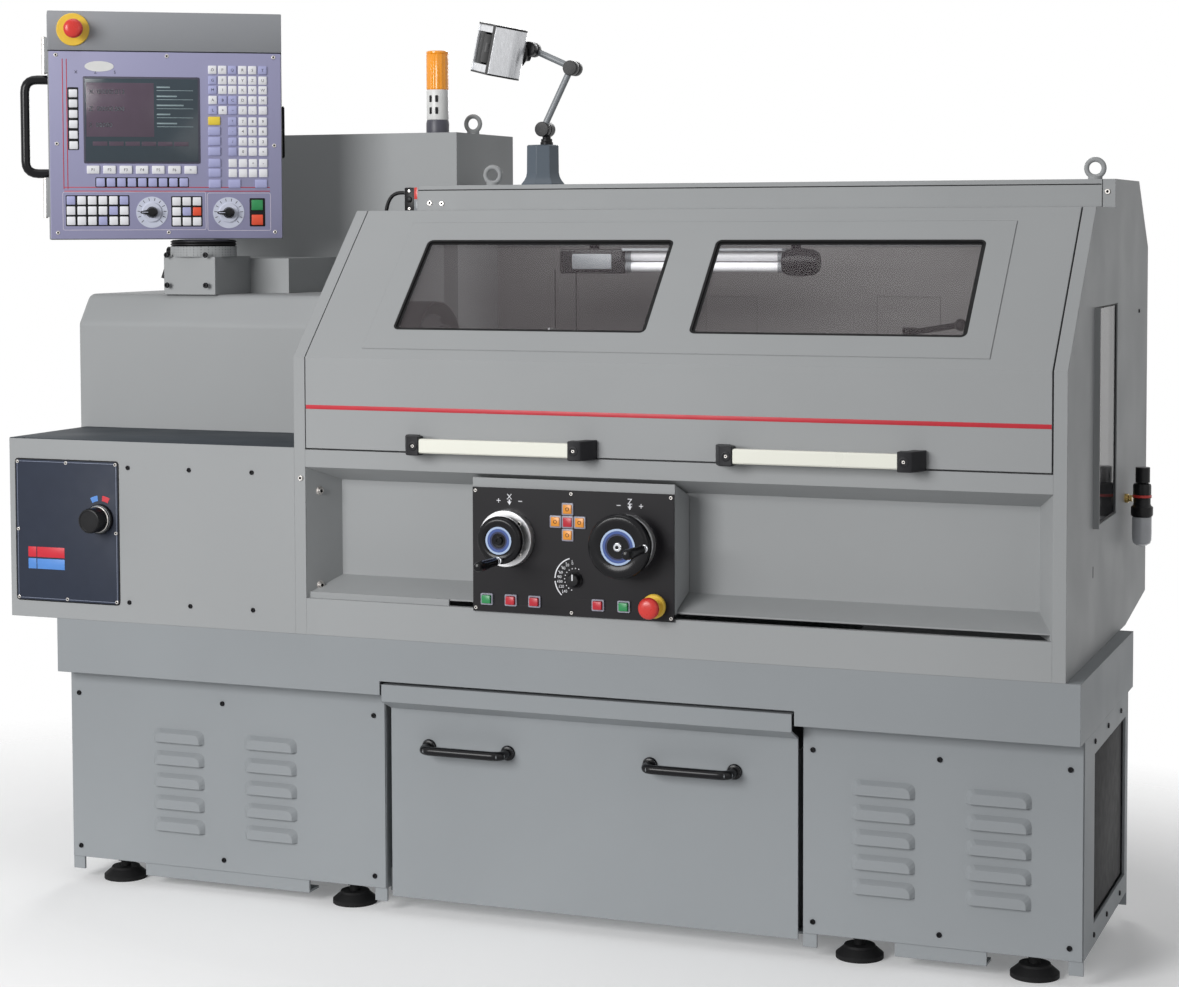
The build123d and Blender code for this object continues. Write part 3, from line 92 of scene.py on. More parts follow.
def linear(*rgb):
    """A linear colour from sRGB levels of 0 to 255."""
    return tuple(((c / 255 + 0.055) / 1.055) ** 2.4 if c > 10 else c / 3294 for c in rgb) + (1,)


def new_material(name):
    material = bpy.data.materials.new(name)
    material.use_nodes = True
    tree = material.node_tree
    return material, tree, tree.nodes["Principled BSDF"]


def wire(tree, source, target):
    tree.links.new(source, target)


def set_inputs(node, values):
    for name, value in values.items():
        node.inputs[name].default_value = value


def add_object(name, data):
    thing = bpy.data.objects.new(name, data)
    bpy.context.scene.collection.objects.link(thing)
    return thing


def noise(tree, scale, detail=3, stretch=None):
    """A noise texture on object coordinates, stretched along an axis where asked."""
    source = tree.nodes.new("ShaderNodeTexCoord").outputs["Object"]
    texture = tree.nodes.new("ShaderNodeTexNoise")
    set_inputs(texture, {"Scale": scale, "Detail": detail})
    if stretch:
        mapping = tree.nodes.new("ShaderNodeMapping")
        set_inputs(mapping, {"Scale": stretch})
        wire(tree, source, mapping.inputs["Vector"])
        source = mapping.outputs["Vector"]
    wire(tree, source, texture.inputs["Vector"])
    return texture.outputs["Fac"]


def ramp(tree, source, low, high, start=0.3, end=0.7):
    """Blends from low to high over a stretch of source. Colours or plain numbers."""
    node = tree.nodes.new("ShaderNodeValToRGB")
    first, last = node.color_ramp.elements
    first.position, last.position = start, end
    first.color = low if isinstance(low, tuple) else (low, low, low, 1)
    last.color = high if isinstance(high, tuple) else (high, high, high, 1)
    wire(tree, source, node.inputs["Fac"])
    return node.outputs["Color"]


def shade(levels, factor):
    """The linear colour of sRGB levels, made darker or lighter."""
    return tuple(min(1, c * factor) for c in linear(*levels)[:3]) + (1,)


def bump(tree, source, strength, distance, edge):
    """The normal of a fine relief over edges that are rounded to a radius of edge."""
    rounded = tree.nodes.new("ShaderNodeBevel")
    rounded.samples = 4
    node = tree.nodes.new("ShaderNodeBump")
    set_inputs(rounded, {"Radius": edge})
    set_inputs(node, {"Strength": strength, "Distance": distance})
    wire(tree, source, node.inputs["Height"])
    wire(tree, rounded.outputs["Normal"], node.inputs["Normal"])
    return node.outputs["Normal"]


def paint(name, levels, rough=(0.46, 0.56), patch=0.03, peel=0.12, edge=0.0018):
    """Sprayed enamel: faint cloudy patches, orange peel, uneven gloss and rounded folds."""
    material, tree, shader = new_material(name)
    clouds = noise(tree, 2.2, 5)
    wire(tree, ramp(tree, clouds, shade(levels, 1 - patch), shade(levels, 1 + patch)),
         shader.inputs["Base Color"])
    wire(tree, ramp(tree, noise(tree, 9, 6), *rough), shader.inputs["Roughness"])
    wire(tree, bump(tree, noise(tree, 420, 2), peel, 0.0004, edge), shader.inputs["Normal"])
    return material


def metal(name, levels, rough=(0.22, 0.36), stretch=(60, 4, 60), depth=0.1):
    """Bare metal streaked along one axis: machining marks, and on the lamp shade painted reflection bands.
    """
    material, tree, shader = new_material(name)
    streaks = noise(tree, 8, 4, stretch)
    wire(tree, ramp(tree, streaks, shade(levels, 0.86), shade(levels, 1.08)), shader.inputs["Base Color"])
    wire(tree, ramp(tree, streaks, *rough), shader.inputs["Roughness"])
    wire(tree, bump(tree, streaks, depth, 0.0003, 0.0008), shader.inputs["Normal"])
    set_inputs(shader, {"Metallic": 1.0})
    return material


def plastic(name, levels, rough=(0.34, 0.44), grain=0.08, glow=0):
    """Moulded plastic with a faint grain and handled, uneven gloss."""
    material, tree, shader = new_material(name)
    wire(tree, ramp(tree, noise(tree, 30, 3), shade(levels, 0.95), shade(levels, 1.05)),
         shader.inputs["Base Color"])
    wire(tree, ramp(tree, noise(tree, 45, 4), *rough), shader.inputs["Roughness"])
    wire(tree, bump(tree, noise(tree, 1600, 2), grain, 0.0002, 0.0006), shader.inputs["Normal"])
    if glow:
        set_inputs(shader, {"Emission Color": linear(*levels), "Emission Strength": glow})
    return material


def clear(name, levels, solidity, smear=0.03):
    """Tinted transparent sheet: part see-through, part tint, with a faint smear of dust."""
    material, tree, shader = new_material(name)
    set_inputs(shader, {"Base Color": linear(*levels), "IOR": 1.49})
    smears = noise(tree, 6, 6, (1, 1, 3))
    wire(tree, ramp(tree, smears, 0.04, 0.14), shader.inputs["Roughness"])
    wire(tree, ramp(tree, smears, solidity - smear, solidity + smear), shader.inputs["Alpha"])
    return material


# Each has its name, its sRGB levels and, where it isn't the usual one, its span of roughness.
MATERIALS = {
    "body": paint("body_grey", (161, 163, 164)),
    "stand": paint("stand_grey", (148, 152, 155), patch=0.035),
    "top_sheet": paint("dark_top_sheet", (52, 58, 64), (0.55, 0.66), peel=0.25),
    "inside": paint("inside_grey", (142, 140, 140), (0.5, 0.6)),
    "plate": paint("control_plate", (15, 13, 17), (0.34, 0.44), patch=0.1, edge=0.0006),
    "panel_case": paint("panel_case", (142, 144, 148)),
    "panel_face": paint("panel_face", (150, 149, 180), (0.45, 0.55), edge=0.0004),
    "lamp_paint": paint("lamp_paint", (84, 94, 104), (0.35, 0.45)),
    "iron": metal("cast_iron", (112, 114, 116), (0.45, 0.6), stretch=(8, 8, 8), depth=0.25),
    "steel": metal("turned_steel", (176, 176, 178), stretch=(4, 60, 60)),
    "chrome": metal("chrome", (214, 216, 220), (0.06, 0.14), depth=0.02),
    "aluminium": metal("aluminium_flange", (206, 206, 208), (0.3, 0.42), stretch=(6, 60, 6)),
    "bar": paint("handle_bar", (238, 238, 226), (0.25, 0.35), patch=0.01, edge=0.0008),
    "plastic": plastic("black_plastic", (16, 16, 18)),
    "rubber": plastic("black_rubber", (20, 20, 21), (0.6, 0.75), grain=0.2),
    "red": plastic("red_plastic", (214, 52, 44), (0.25, 0.35)),
    "yellow": plastic("yellow_plastic", (240, 200, 70), (0.3, 0.4)),
    "amber": plastic("amber_key", (232, 150, 50), (0.28, 0.38)),
    "lens": plastic("amber_lens", (236, 150, 28), (0.12, 0.2), glow=0.18),
    "white": plastic("white_plastic", (228, 228, 226), (0.3, 0.4)),
    "dial": plastic("dial_plastic", (206, 210, 226), (0.4, 0.5)),
    "glass": clear("tinted_window", (58, 44, 50), solidity=0.26, smear=0.02),
    "side_glass": clear("side_window", (34, 36, 40), solidity=0.6),
    # Its vertical streaks are painted reflection bands.
    "shade": metal("lamp_shade", (236, 237, 240), (0.2, 0.32), stretch=(60, 60, 2), depth=0.03),
    "bolt": metal("bolt_black", (38, 38, 40), (0.3, 0.4), depth=0.02),
    "zinc": metal("zinc_screw", (206, 202, 198), (0.24, 0.34), depth=0.03),
    "brass": metal("brass_fitting", (196, 168, 104), (0.2, 0.3), depth=0.03),
}

# Plain plastics, and blacks of painted shade in hollows: sRGB levels, and the roughness where they are
# glossiest.
PLASTICS = {
    # The first black serves for black print as well as painted shade in slots, gaps and openings; the
    # second is painted shade in sockets, bores and seams.
    "pit": (16, 16, 18, 0.6), "recess": (14, 14, 15, 0.6), "gloss_black": (15, 15, 18, 0.16),
    "handle_black": (30, 30, 33, 0.4), "stripe": (190, 32, 48, 0.4), "line": (222, 214, 226, 0.5),
    "mark": (232, 232, 236, 0.4), "bezel": (150, 150, 164, 0.35), "bezel_dark": (58, 56, 72, 0.4),
    "slate": (42, 48, 62, 0.5), "slate_line": (130, 138, 158, 0.45), "orange": (232, 84, 52, 0.35),
    "label_red": (204, 34, 52, 0.4), "label_blue": (84, 140, 214, 0.4), "key_red": (188, 32, 48, 0.3),
    "key_green": (38, 138, 78, 0.3), "key_white": (236, 236, 240, 0.4), "key_lilac": (172, 174, 214, 0.4),
    "key_yellow": (236, 208, 70, 0.4), "screen": (40, 56, 66, 0.12), "screen_window": (80, 64, 80, 0.14),
    "glow_text": (142, 160, 164, 0.4), "ring_pale": (176, 196, 226, 0.25), "ring_blue": (58, 84, 150, 0.25),
    "ring_deep": (26, 36, 78, 0.25), "tower_base": (70, 70, 80, 0.4), "bowl": (190, 192, 196, 0.1),
    "arm_grey": (134, 138, 142, 0.3), "tube_light": (236, 236, 240, 0.2),
}
for key, (*levels, gloss) in PLASTICS.items():
    MATERIALS[key] = plastic(key, levels, (gloss, gloss + 0.08))


def retouch(keys, values):
    for key in keys.split():
        set_inputs(MATERIALS[key].node_tree.nodes["Principled BSDF"], values)


retouch("body stand inside", {"Specular IOR Level": 0.2})
retouch("plastic plate gloss_black handle_black slate top_sheet rubber pit recess",
        {"Specular IOR Level": 0.22})
retouch("tube_light", {"Emission Strength": 0.08, "Emission Color": linear(236, 238, 240)})
retouch("shade", {"Metallic": 0.4})

# Drawing of closed shapes

def rectangle(x, y, corner=0, steps=3):
    """A rectangle's outline, with rounded corners where asked."""
    if not corner:
        return [(x[0], y[0]), (x[1], y[0]), (x[1], y[1]), (x[0], y[1])]
    points = []
    for side, (cx, cy) in enumerate(((x[1] - corner, y[0] + corner), (x[1] - corner, y[1] - corner),
                                     (x[0] + corner, y[1] - corner), (x[0] + corner, y[0] + corner))):
        points += circle((cx, cy), corner, steps, 90 * side - 90, 90)
    return points


def evenly(start, step, count):
    return [start + step * i for i in range(count)]


def about(middle, reach):
    """The span that reaches as far to both sides of middle."""
    return (middle - reach, middle + reach)


def around(centre, radius, angle):
    """The point at a radius and an angle in degrees from centre."""
    turn = math.radians(angle)
    return (centre[0] + radius * math.cos(turn), centre[1] + radius * math.sin(turn))


def circle(centre, radius, sides=32, start=0, sweep=360):
    """Points round a circle, or along an arc of it with both its ends."""
    count = sides if sweep == 360 else sides + 1
    return [around(centre, radius, start + sweep * i / sides) for i in range(count)]


def inset(outline, depth):
    """The outline drawn in by depth, along the mitres of its corners."""
    moved = []
    for i, point in enumerate(outline):
        here = Vector(point)
        before = (here - Vector(outline[i - 1])).normalized()
        after = (Vector(outline[(i + 1) % len(outline)]) - here).normalized()
        mitre = Vector((-before.y - after.y, before.x + after.x))
        scale = max(0.4, mitre.length_squared / 2)
        moved.append(tuple(here + mitre * depth / scale))
    return moved


def shrunk(outline, pad):
    """The outline with each point moved by pad towards its middle."""
    middle = sum((Vector(point) for point in outline), Vector((0, 0))) / len(outline)
    return [tuple(Vector(point) + (middle - Vector(point)).normalized() * pad) for point in outline]


def rounded_path(points, radius):
    """A line through the points with its corners rounded."""
    path = [Vector(points[0])]
    for before, corner, after in zip(points, points[1:], points[2:]):
        corner = Vector(corner)
        start = corner + (Vector(before) - corner).normalized() * radius
        end = corner + (Vector(after) - corner).normalized() * radius
        for step in range(6):
            share = step / 5
            path.append(start.lerp(corner, share).lerp(corner.lerp(end, share), share))
    path.append(Vector(points[-1]))
    return path


# Folds steeper than this stay sharp.
SHARP = math.radians(32)


class Shapes:
    """Closed shapes gathered in one mesh, each in its own material, in a local frame."""

    def __init__(self, place):
        self.place = place
        self.keys = []
        self.mesh = bmesh.new()

    def face(self, corners, key):
        if key not in self.keys:
            self.keys.append(key)
        self.mesh.faces.new(corners).material_index = self.keys.index(key)

    def skin(self, rings, key, closed=False):
        """Bands of faces between rings of points, capped at both ends unless closed."""
        rows = [[self.mesh.verts.new(self.place @ Vector(point)) for point in ring] for ring in rings]
        bands = list(zip(rows, rows[1:] + rows[:1] if closed else rows[1:]))
        keys = key if isinstance(key, list) else [key] * len(bands)
        for (low, high), band_key in zip(bands, keys):
            for i in range(len(low)):
                j = (i + 1) % len(low)
                self.face((low[i], low[j], high[j], high[i]), band_key)
        if not closed:
            self.face(rows[0][::-1], keys[0])
            self.face(rows[-1], keys[-1])

    def stack(self, rings, key, closed=False):
        """Bands of faces between outlines that each have their own level."""
        self.skin([[(*point, level) for point in outline] for outline, level in rings], key, closed)

    def sheet(self, outline, z, key):
        """A flat piece from z[0] to z[1] with sharp edges."""
        self.stack([(outline, level) for level in z], key)

    def plate(self, outline, z, key, edge=0.5):
        """A flat plate from z[0] to z[1] with a small bevel round its front."""
        self.stack([(outline, z[0]), (outline, z[1] - edge),
                    (inset(outline, edge * 0.35), z[1] - edge * 0.35), (inset(outline, edge), z[1])], key)

    def slab(self, x, y, z, key, corner=0, edge=0.5):
        """A plate over spans of x, y and z, with rounded corners and a bevel."""
        self.plate(rectangle(x, y, corner), z, key, edge)

    def frame(self, outer, inner, z, key):
        """A flat ring between two outlines of as many points."""
        self.stack([(outer, z[0]), (outer, z[1]), (inner, z[1]), (inner, z[0])], key, closed=True)

    def turned(self, centre, profile, key, sides=32, closed=False, flutes=0, depth=0):
        """A solid of revolution about z through centre, from (radius, height) points."""
        rings = []
        for radius, level in profile:
            ring = []
            for i in range(sides):
                angle = 2 * math.pi * i / sides
                reach = radius - depth * (i * flutes // sides % 2)
                x, y = reach * math.cos(angle), reach * math.sin(angle)
                ring.append((centre[0] + x, centre[1] + y, level))
            rings.append(ring)
        self.skin(rings, key, closed)

    def tube(self, path, radius, key, sides=14):
        """A round tube along a path, with a radius for each point or one for all."""
        path = [Vector(point) for point in path]
        radii = radius if isinstance(radius, list) else [radius] * len(path)
        heading = (path[1] - path[0]).normalized()
        side = heading.orthogonal().normalized()
        rings = []
        for i, point in enumerate(path):
            ahead = path[min(i + 1, len(path) - 1)] - path[max(i - 1, 0)]
            turn = heading.rotation_difference(ahead.normalized())
            side = turn @ side
            heading = ahead.normalized()
            other = heading.cross(side)
            rings.append([point + (side * math.cos(a) + other * math.sin(a)) * radii[i]
                          for a in (2 * math.pi * k / sides for k in range(sides))])
        self.skin(rings, key)

    def bolt(self, x, y, z, radius, key="bolt", rise=0.6):
        """A socket screw's head: a rounded rim round a sunk hexagon, coloured black as painted shade."""
        rim = [(radius, 0), (radius, rise * radius * 0.6), (radius * 0.86, rise * radius),
               (radius * 0.5, rise * radius), (radius * 0.46, rise * radius * 0.25)]
        self.turned((x, y), [(r, z + level) for r, level in rim], [key] * 3 + ["recess"], 16)

    def write(self, words, x, y, z, size, key, centred=True):
        """Plain characters, laid flat on a face."""
        curve = bpy.data.curves.new("characters", "FONT")
        curve.body = words
        curve.size = size
        curve.resolution_u = 2
        if centred:
            curve.align_x = "CENTER"
        drawn = bpy.data.objects.new("characters", curve)
        flat = bpy.data.meshes.new_from_object(drawn)
        points = [self.mesh.verts.new(self.place @ Vector((x + v.co.x, y + v.co.y - size * 0.35, z)))
                  for v in flat.vertices]
        for polygon in flat.polygons:
            self.face([points[i] for i in polygon.vertices], key)
        bpy.data.objects.remove(drawn)
        bpy.data.meshes.remove(flat)
        bpy.data.curves.remove(curve)

    def finish(self, name, body, stands_for=()):
        """Makes the piece, smooth but for its sharp edges, and lets it ride on its body."""
        bmesh.ops.recalc_face_normals(self.mesh, faces=self.mesh.faces)
        for face in self.mesh.faces:
            face.smooth = True
        for edge in self.mesh.edges:
            edge.smooth = len(edge.link_faces) == 2 and edge.calc_face_angle(0) < SHARP
        mesh = bpy.data.meshes.new(name)
        self.mesh.to_mesh(mesh)
        self.mesh.free()
        for key in self.keys:
            mesh.materials.append(MATERIALS[key])
        piece = add_object(name, mesh)
        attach(piece, body)
        if stands_for:
            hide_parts(*stands_for)
        return piece


NODE_MATERIALS = {
    "body": ("gearbox_housing headstock_cover guard_left_wall guard_right_wall front_panel top_beam "
             "electrical_cabinet cabinet_door guard_door panel_arm lifting_eyes"),
    "stand": "left_cabinet right_cabinet louvred_covers chip_pan drawer",
    "rubber": "leveling_feet",
    "iron": "bed saddle cross_slide tailstock headstock",
    "inside": "back_wall chuck_hood",
    "steel": "chuck jaw_1 jaw_2 jaw_3 quill tool_post tailstock_wheel",
    "plastic": "panel_lever tailstock_lever lamp_turret air_knob",
    "glass": "door_windows",
    "side_glass": "side_window",
}


def dress_nodes():
    """Gives every CAD node that shows its material."""
    for key, names in NODE_MATERIALS.items():
        for name in names.split():
            mesh = nodes[name].data
            if not mesh.materials:
                mesh.materials.append(MATERIALS[key])
            for index in range(len(mesh.materials)):
                nodes[name].material_slots[index].material = MATERIALS[key]


# Stand, gearbox box and guard

def build_fasteners():
    bolts = Shapes(FRONT)
    for x in (-1871, -1731, -1590):
        for z in (587, 858):
            bolts.bolt(x, z, 0, 4.6)
    for x in (-2020, -1686, -1350, -464, -230, 2):
        for z in (70.5, 387):
            bolts.bolt(x, z, -43, 5)
    for x, z, out in ((-1432, 1387, -492.8), (-1404, 1386, -492.8), (-15, 1400, -494), (-1482, 851, 0)):
        bolts.bolt(x, z, out, 5.4, "zinc")
    bolts.finish("front_bolts", "base")
    cheek = Shapes(CHEEK)
    for z in (639, 824):
        cheek.bolt(34, z, 0.2, 6.5, "zinc", 0.9)
        cheek.bolt(34, z, 0.1, 9, "zinc", 0.12)
    cheek.finish("cheek_bolts", "base")
    side = Shapes(SIDE)
    for y, z in ((150, 418), (294, 418), (440, 418), (150, 68), (290, 68), (440, 68)):
        side.bolt(y, z, 26, 5)
    side.bolt(798, 1163, 0, 4)
    # A black slot and a near-black sheet recessed in the side are painted shade in openings.
    side.slab((267, 273), (692, 714), (-1, 0.25), "recess", 2.9, 0.1)
    side.slab((158, 492), (93, 391), (17.5, 19.5), "pit", 4)
    side.finish("side_fittings", "base")


def build_sheet_trim():
    """The dark sheet over the gearbox box, the stripe on the door and the black window seals."""
    top = Shapes(TOP)
    top.slab((-2149.5, -1496.5), (0.5, 283.7), (909.9, 911.4), "top_sheet", edge=0.4)
    top.finish("gearbox_top_sheet", "base")
    door = Shapes(FRONT)
    door.slab((-1469.5, -27.5), (986, 994), (-0.5, 0.25), "stripe", edge=0.05)
    door.finish("door_stripe", "door")
    seals = Shapes(SLOPE)
    panes = Shapes(SLOPE)
    for low, high in ((-1307.5, -790), (-705, -187.5)):
        hole = rectangle((low, high), (74, 314), 12, 6)
        seals.frame(inset(hole, -0.2), inset(hole, 4), (-3.2, 1), "rubber")
        panes.frame(inset(hole, 2), inset(hole, 9), (-3.4, -2.9), "rubber")
    seals.finish("window_seals", "door")
    panes.finish("window_beads", "door")
    side = Shapes(SIDE)
    side.frame(rectangle((256, 544), (769, 1201)), rectangle((274, 526), (787, 1183)), (-7.5, -2.4),
               "rubber")
    side.finish("side_window_seal", "base")
    # Thin black strips along the beam's face are painted shade in its seams.
    beam = Shapes(FRONT)
    beam.slab((-1459, -27), (1413.2, 1415.2), (-494, -493.2), "recess", edge=0.1)
    beam.slab((-1459, -25.5), (1370.4, 1371.6), (-494, -492.4), "recess", edge=0.1)
    beam.finish("beam_seams", "base")


def build_drawer_pulls():
    pulls = Shapes(FRONT)
    for x in (-1148.5, -695.5):
        path = rounded_path([(x - 82.5, 335, -43), (x - 82.5, 335, -5), (x + 82.5, 335, -5),
                             (x + 82.5, 335, -43)], 19)
        pulls.tube(path, 8.6, "gloss_black", 20)
        for side in (-82.5, 82.5):
            pulls.turned((x + side, 335), [(14.5, -43.1), (14.5, -40), (12.5, -37.5), (9.5, -36.5)],
                         "gloss_black")
    pulls.finish("drawer_pulls", "drawer")


def build_door_handles():
    bars = Shapes(FRONT)
    section = [(0, 2.4), (2.4, 0), (24.6, 0), (27, 2.4), (27, 13.6), (24.6, 16), (2.4, 16), (0, 13.6)]
    bracket = [(0, 0), (0, 12), (6, 27), (16, 44), (20, 46), (40, 46), (42, 44), (42, 24), (30, 22),
               (24, 0)]
    for centre in (-1058, -439):
        ends = about(centre, 158.5)
        outline = [(911.5 + up, 28 + 16 - out) for up, out in section]
        bars.skin([[(end, *point) for point in outline] for end in ends], "bar")
        for side in (-1, 1):
            root = centre + side * 192.5
            shape = [(root - side * x, y) for x, y in bracket]
            rings = [[(x, level, y) for x, y in (shrunk(shape, pad) if pad else shape)]
                     for level, pad in ((907, 1.5), (908.5, 0), (941.5, 0), (943, 1.5))]
            bars.skin(rings, "handle_black")
            # The black floor round each bracket's screw is painted shade in its pocket.
            bars.turned((root - side * 30, 925), [(9, 45.6), (9, 46.8), (8, 47.3), (6.4, 47.3), (6, 45.7)],
                        ["handle_black"] * 3 + ["recess"], 24)
            bars.bolt(root - side * 30, 925, 45.7, 3.2, "zinc", 0.4)
    bars.finish("door_handle_bars", "door", stands_for=("door_handles",))


SELECTOR_SPOT = (-1935, 753)


def build_selector():
    plate = Shapes(FRONT)
    # The black sheet just larger than the slate plate shows as a rim of painted shade round it.
    plate.slab((-2137, -1892), (579, 870), (-0.5, 1.2), "recess", 7, 0.3)
    plate.slab((-2134.5, -1894.5), (581.5, 867.5), (1, 1.7), "slate", 5, 0.3)
    outer = rectangle((-2131.5, -1897.5), (584.5, 864.5), 4)
    plate.frame(outer, inset(outer, 1), (1.6, 1.85), "slate_line")
    for x, heights in ((-2130, (586, 725, 863)), (-2015, (586, 863)), (-1899, (586, 725, 863))):
        for z in heights:
            plate.bolt(x, z, 1.7, 3.6, "zinc", 0.5)
    for row, key in (((669, 690), "label_red"), ((645, 666), "label_blue")):
        for column in ((-2107, -2088), (-2086, -2021)):
            plate.slab(column, row, (1.7, 1.95), key, edge=0.05)
    for start, key in ((98, "label_blue"), (62, "label_red")):
        ring, inner = (circle(SELECTOR_SPOT, radius, 8, start, 22) for radius in (47, 36))
        plate.sheet(ring + inner[::-1], (1.7, 1.95), key)
    plate.finish("selector_plate", "base")
    knob = Shapes(FRONT)
    # The slim zinc band on the flange is a painted highlight on the rim of dark chrome.
    knob.turned(SELECTOR_SPOT, [(30, 2.1), (30, 9), (28, 11), (26.5, 11), (26.8, 15.5), (25.6, 17),
                                (22, 17.4), (22, 18.5)],
                ["gloss_black"] * 2 + ["arm_grey", "gloss_black", "zinc"] + ["plastic"] * 2, 48)
    knob.turned(SELECTOR_SPOT, [(24.6, 17), (25, 42), (23.8, 45), (21.5, 45.8), (20, 44.6)],
                "plastic", 60, flutes=60, depth=0.7)
    knob.finish("range_knob", "selector_knob", stands_for=("selector_knob",))


# Carriage control box and its handwheels

WHEEL_Y = 141
WHEEL_X = {"x_handwheel": 72, "z_handwheel": 312.5}
JOG_SPOT = (208, 69)
CARRIAGE_STOP_SPOT = (364, 28)
BUTTONS = (("start_button", 30, "green"), ("stop_button", 79, "red"), ("feed_hold_button", 127, "red"),
           ("reset_button", 254, "red"), ("cycle_button", 305, "green"))


def build_control_box():
    case = Shapes(SIDE)
    section = [(-2, 626), (-2, 866), (78, 838), (78, 658.5), (12, 634), (9, 626)]
    case.sheet(section, (-1116, -713), "body")
    case.finish("control_case", "carriage")
    plate = Shapes(BOX)
    bands = [((0.8, 402.2), (0, 15.3)), ((0.8, 402.2), (32.7, 235))]
    edges = [0.8] + [x + side * 9.9 for _, x, _ in BUTTONS for side in (-1, 1)] + [402.2]
    bands += [(pair, (15.3, 32.7)) for pair in zip(edges[::2], edges[1::2])]
    for x, y in bands:
        plate.sheet(rectangle(x, y), (-2.9, 0.3), "plate")
    for _, x, _ in BUTTONS:
        rim = rectangle(about(x, 12), (13.2, 34.8), 2)
        hole = rectangle(about(x, 9.4), (15.8, 32.2), 1)
        plate.frame(rim, hole, (0.2, 4.2), "bezel")
    for x in (6.5, 200.5, 396.5):
        for y in (6.5, 228.5):
            plate.bolt(x, y, 0.3, 3.4, "zinc", 0.45)
    for x in WHEEL_X.values():
        plate.turned((x, WHEEL_Y), [(54, 0.2), (54, 11.5), (52.5, 14), (30, 14), (30, 12)],
                     "aluminium", 64)
        for angle in (45, 135, 225, 315):
            plate.bolt(*around((x, WHEEL_Y), 41, angle), 14, 4.4, "zinc", 0.4)
    for column, row in ((0, 0), (1, 0), (-1, 0), (0, 1), (0, -1)):
        x, y = 194 + column * 24.2, 176 + row * 24.2
        plate.slab(about(x, 11.5), about(y, 11.5), (0.2, 3.2), "bezel", 2, 0.8)
        key = "key_red" if (column, row) == (0, 0) else "amber"
        plate.slab(about(x, 8.6), about(y, 8.6), (3, 4.9), key, 1.5, 0.8)
        if key == "amber":
            plate.frame(circle((x, y), 3.6, 20), circle((x, y), 2.6, 20), (4.8, 5), "plate")
    plate.turned(CARRIAGE_STOP_SPOT, [(22.5, 0.2), (22.5, 5), (20.5, 7.8), (14, 8), (13.2, 9), (11, 9),
                                      (11, 0.2)], "yellow", 48, closed=True)
    draw_box_marks(plate)
    plate.finish("control_plate", "carriage", stands_for=("control_box",))


def draw_box_marks(plate):
    """Axis letters with their signs and arrows, and the feed scale beside its knob."""
    for name, letter, left, right in (("x_handwheel", "X", "+", "−"), ("z_handwheel", "Z", "−", "+")):
        x = WHEEL_X[name]
        plate.write(letter, x + 4, 219, 0.55, 15, "mark")
        plate.write(left, x - 18, 211, 0.55, 17, "mark")
        plate.write(right, x + 26, 211, 0.55, 17, "mark")
        arrow = [(x + 4, 203), (x + 8.5, 210.5), (x + 5.4, 209.5), (x + 5.4, 213.5), (x + 2.6, 213.5),
                 (x + 2.6, 209.5), (x - 0.5, 210.5)]
        plate.sheet(arrow, (0.2, 0.5), "mark")
    for start, sweep in ((106, 72), (186, 42)):
        outer, inner = (circle(JOG_SPOT, radius, 14, start, sweep) for radius in (41.5, 39.2))
        plate.sheet(outer + inner[::-1], (0.2, 0.5), "mark")
    for count, angle in enumerate((100, 120, 138, 156, 172, 188, 206, 226)):
        plate.write(str(count * 20), *around(JOG_SPOT, 31, angle), 0.55, 7.5, "mark")
        plate.turned(around(JOG_SPOT, 35.5, angle), [(0.9, 0.2), (0.9, 0.5)], "mark", 10)
    for angle in evenly(70, 18, 11):
        plate.turned(around(JOG_SPOT, 21, angle), [(1.1, 0.2), (1.1, 0.5)], "mark", 10)


def build_handwheel(name, rim, face, crank, ring, hub_key):
    """A glossy rim with a blue scale ring in its face and a turned crank handle."""
    wheel = Shapes(BOX)
    rim_profile = [(-20, 14.4 - face), (-19, -27), (-4, -22), (-0.6, -18), (0, -14), (0, -8),
                   (-1.2, -4), (-4.5, -0.8), (-8, 0)]
    ring_profile = [(4, -0.6), (1.2, -2), (0, -0.8), (-3.8, -0.8), (-4.2, -1.2), (-9, -1.2),
                    (-9.4, -1.8), (-12, -1.8), (-12.6, -1.2)]
    hub_profile = [(8.5, -1.6), (8, 2), (6.6, 3.4), (3.4, 3.4), (3, 1.4)]
    profile = [(start + r, face + z) for start, part in ((rim, rim_profile), (ring, ring_profile),
                                                         (0, hub_profile)) for r, z in part]
    # The black at the hub's centre is painted shade in its bore.
    keys = (["gloss_black"] * 11 + ["ring_pale"] + ["ring_blue"] * 2 + ["ring_deep"] * 2
            + ["gloss_black"] * 2 + [hub_key] * 3 + ["recess"])
    wheel.turned((WHEEL_X[name], WHEEL_Y), profile, keys, 72)
    ferrule = [(7.4, -3), (7.4, 3), (5.8, 4.5), (5.8, 9.5), (7.6, 10.5), (7.6, 14), (6.2, 16)]
    grip = [(6.4, 15), (8.6, 18), (8.2, 34), (9.6, 62), (10, 78), (9, 93.4), (6.6, 98), (3, 99.4)]
    for outline, key in ((ferrule, "chrome"), (grip, "gloss_black")):
        wheel.turned(crank, [(r, face + z) for r, z in outline], key, 28)
    wheel.finish(name + "_rim", name, stands_for=(name,))


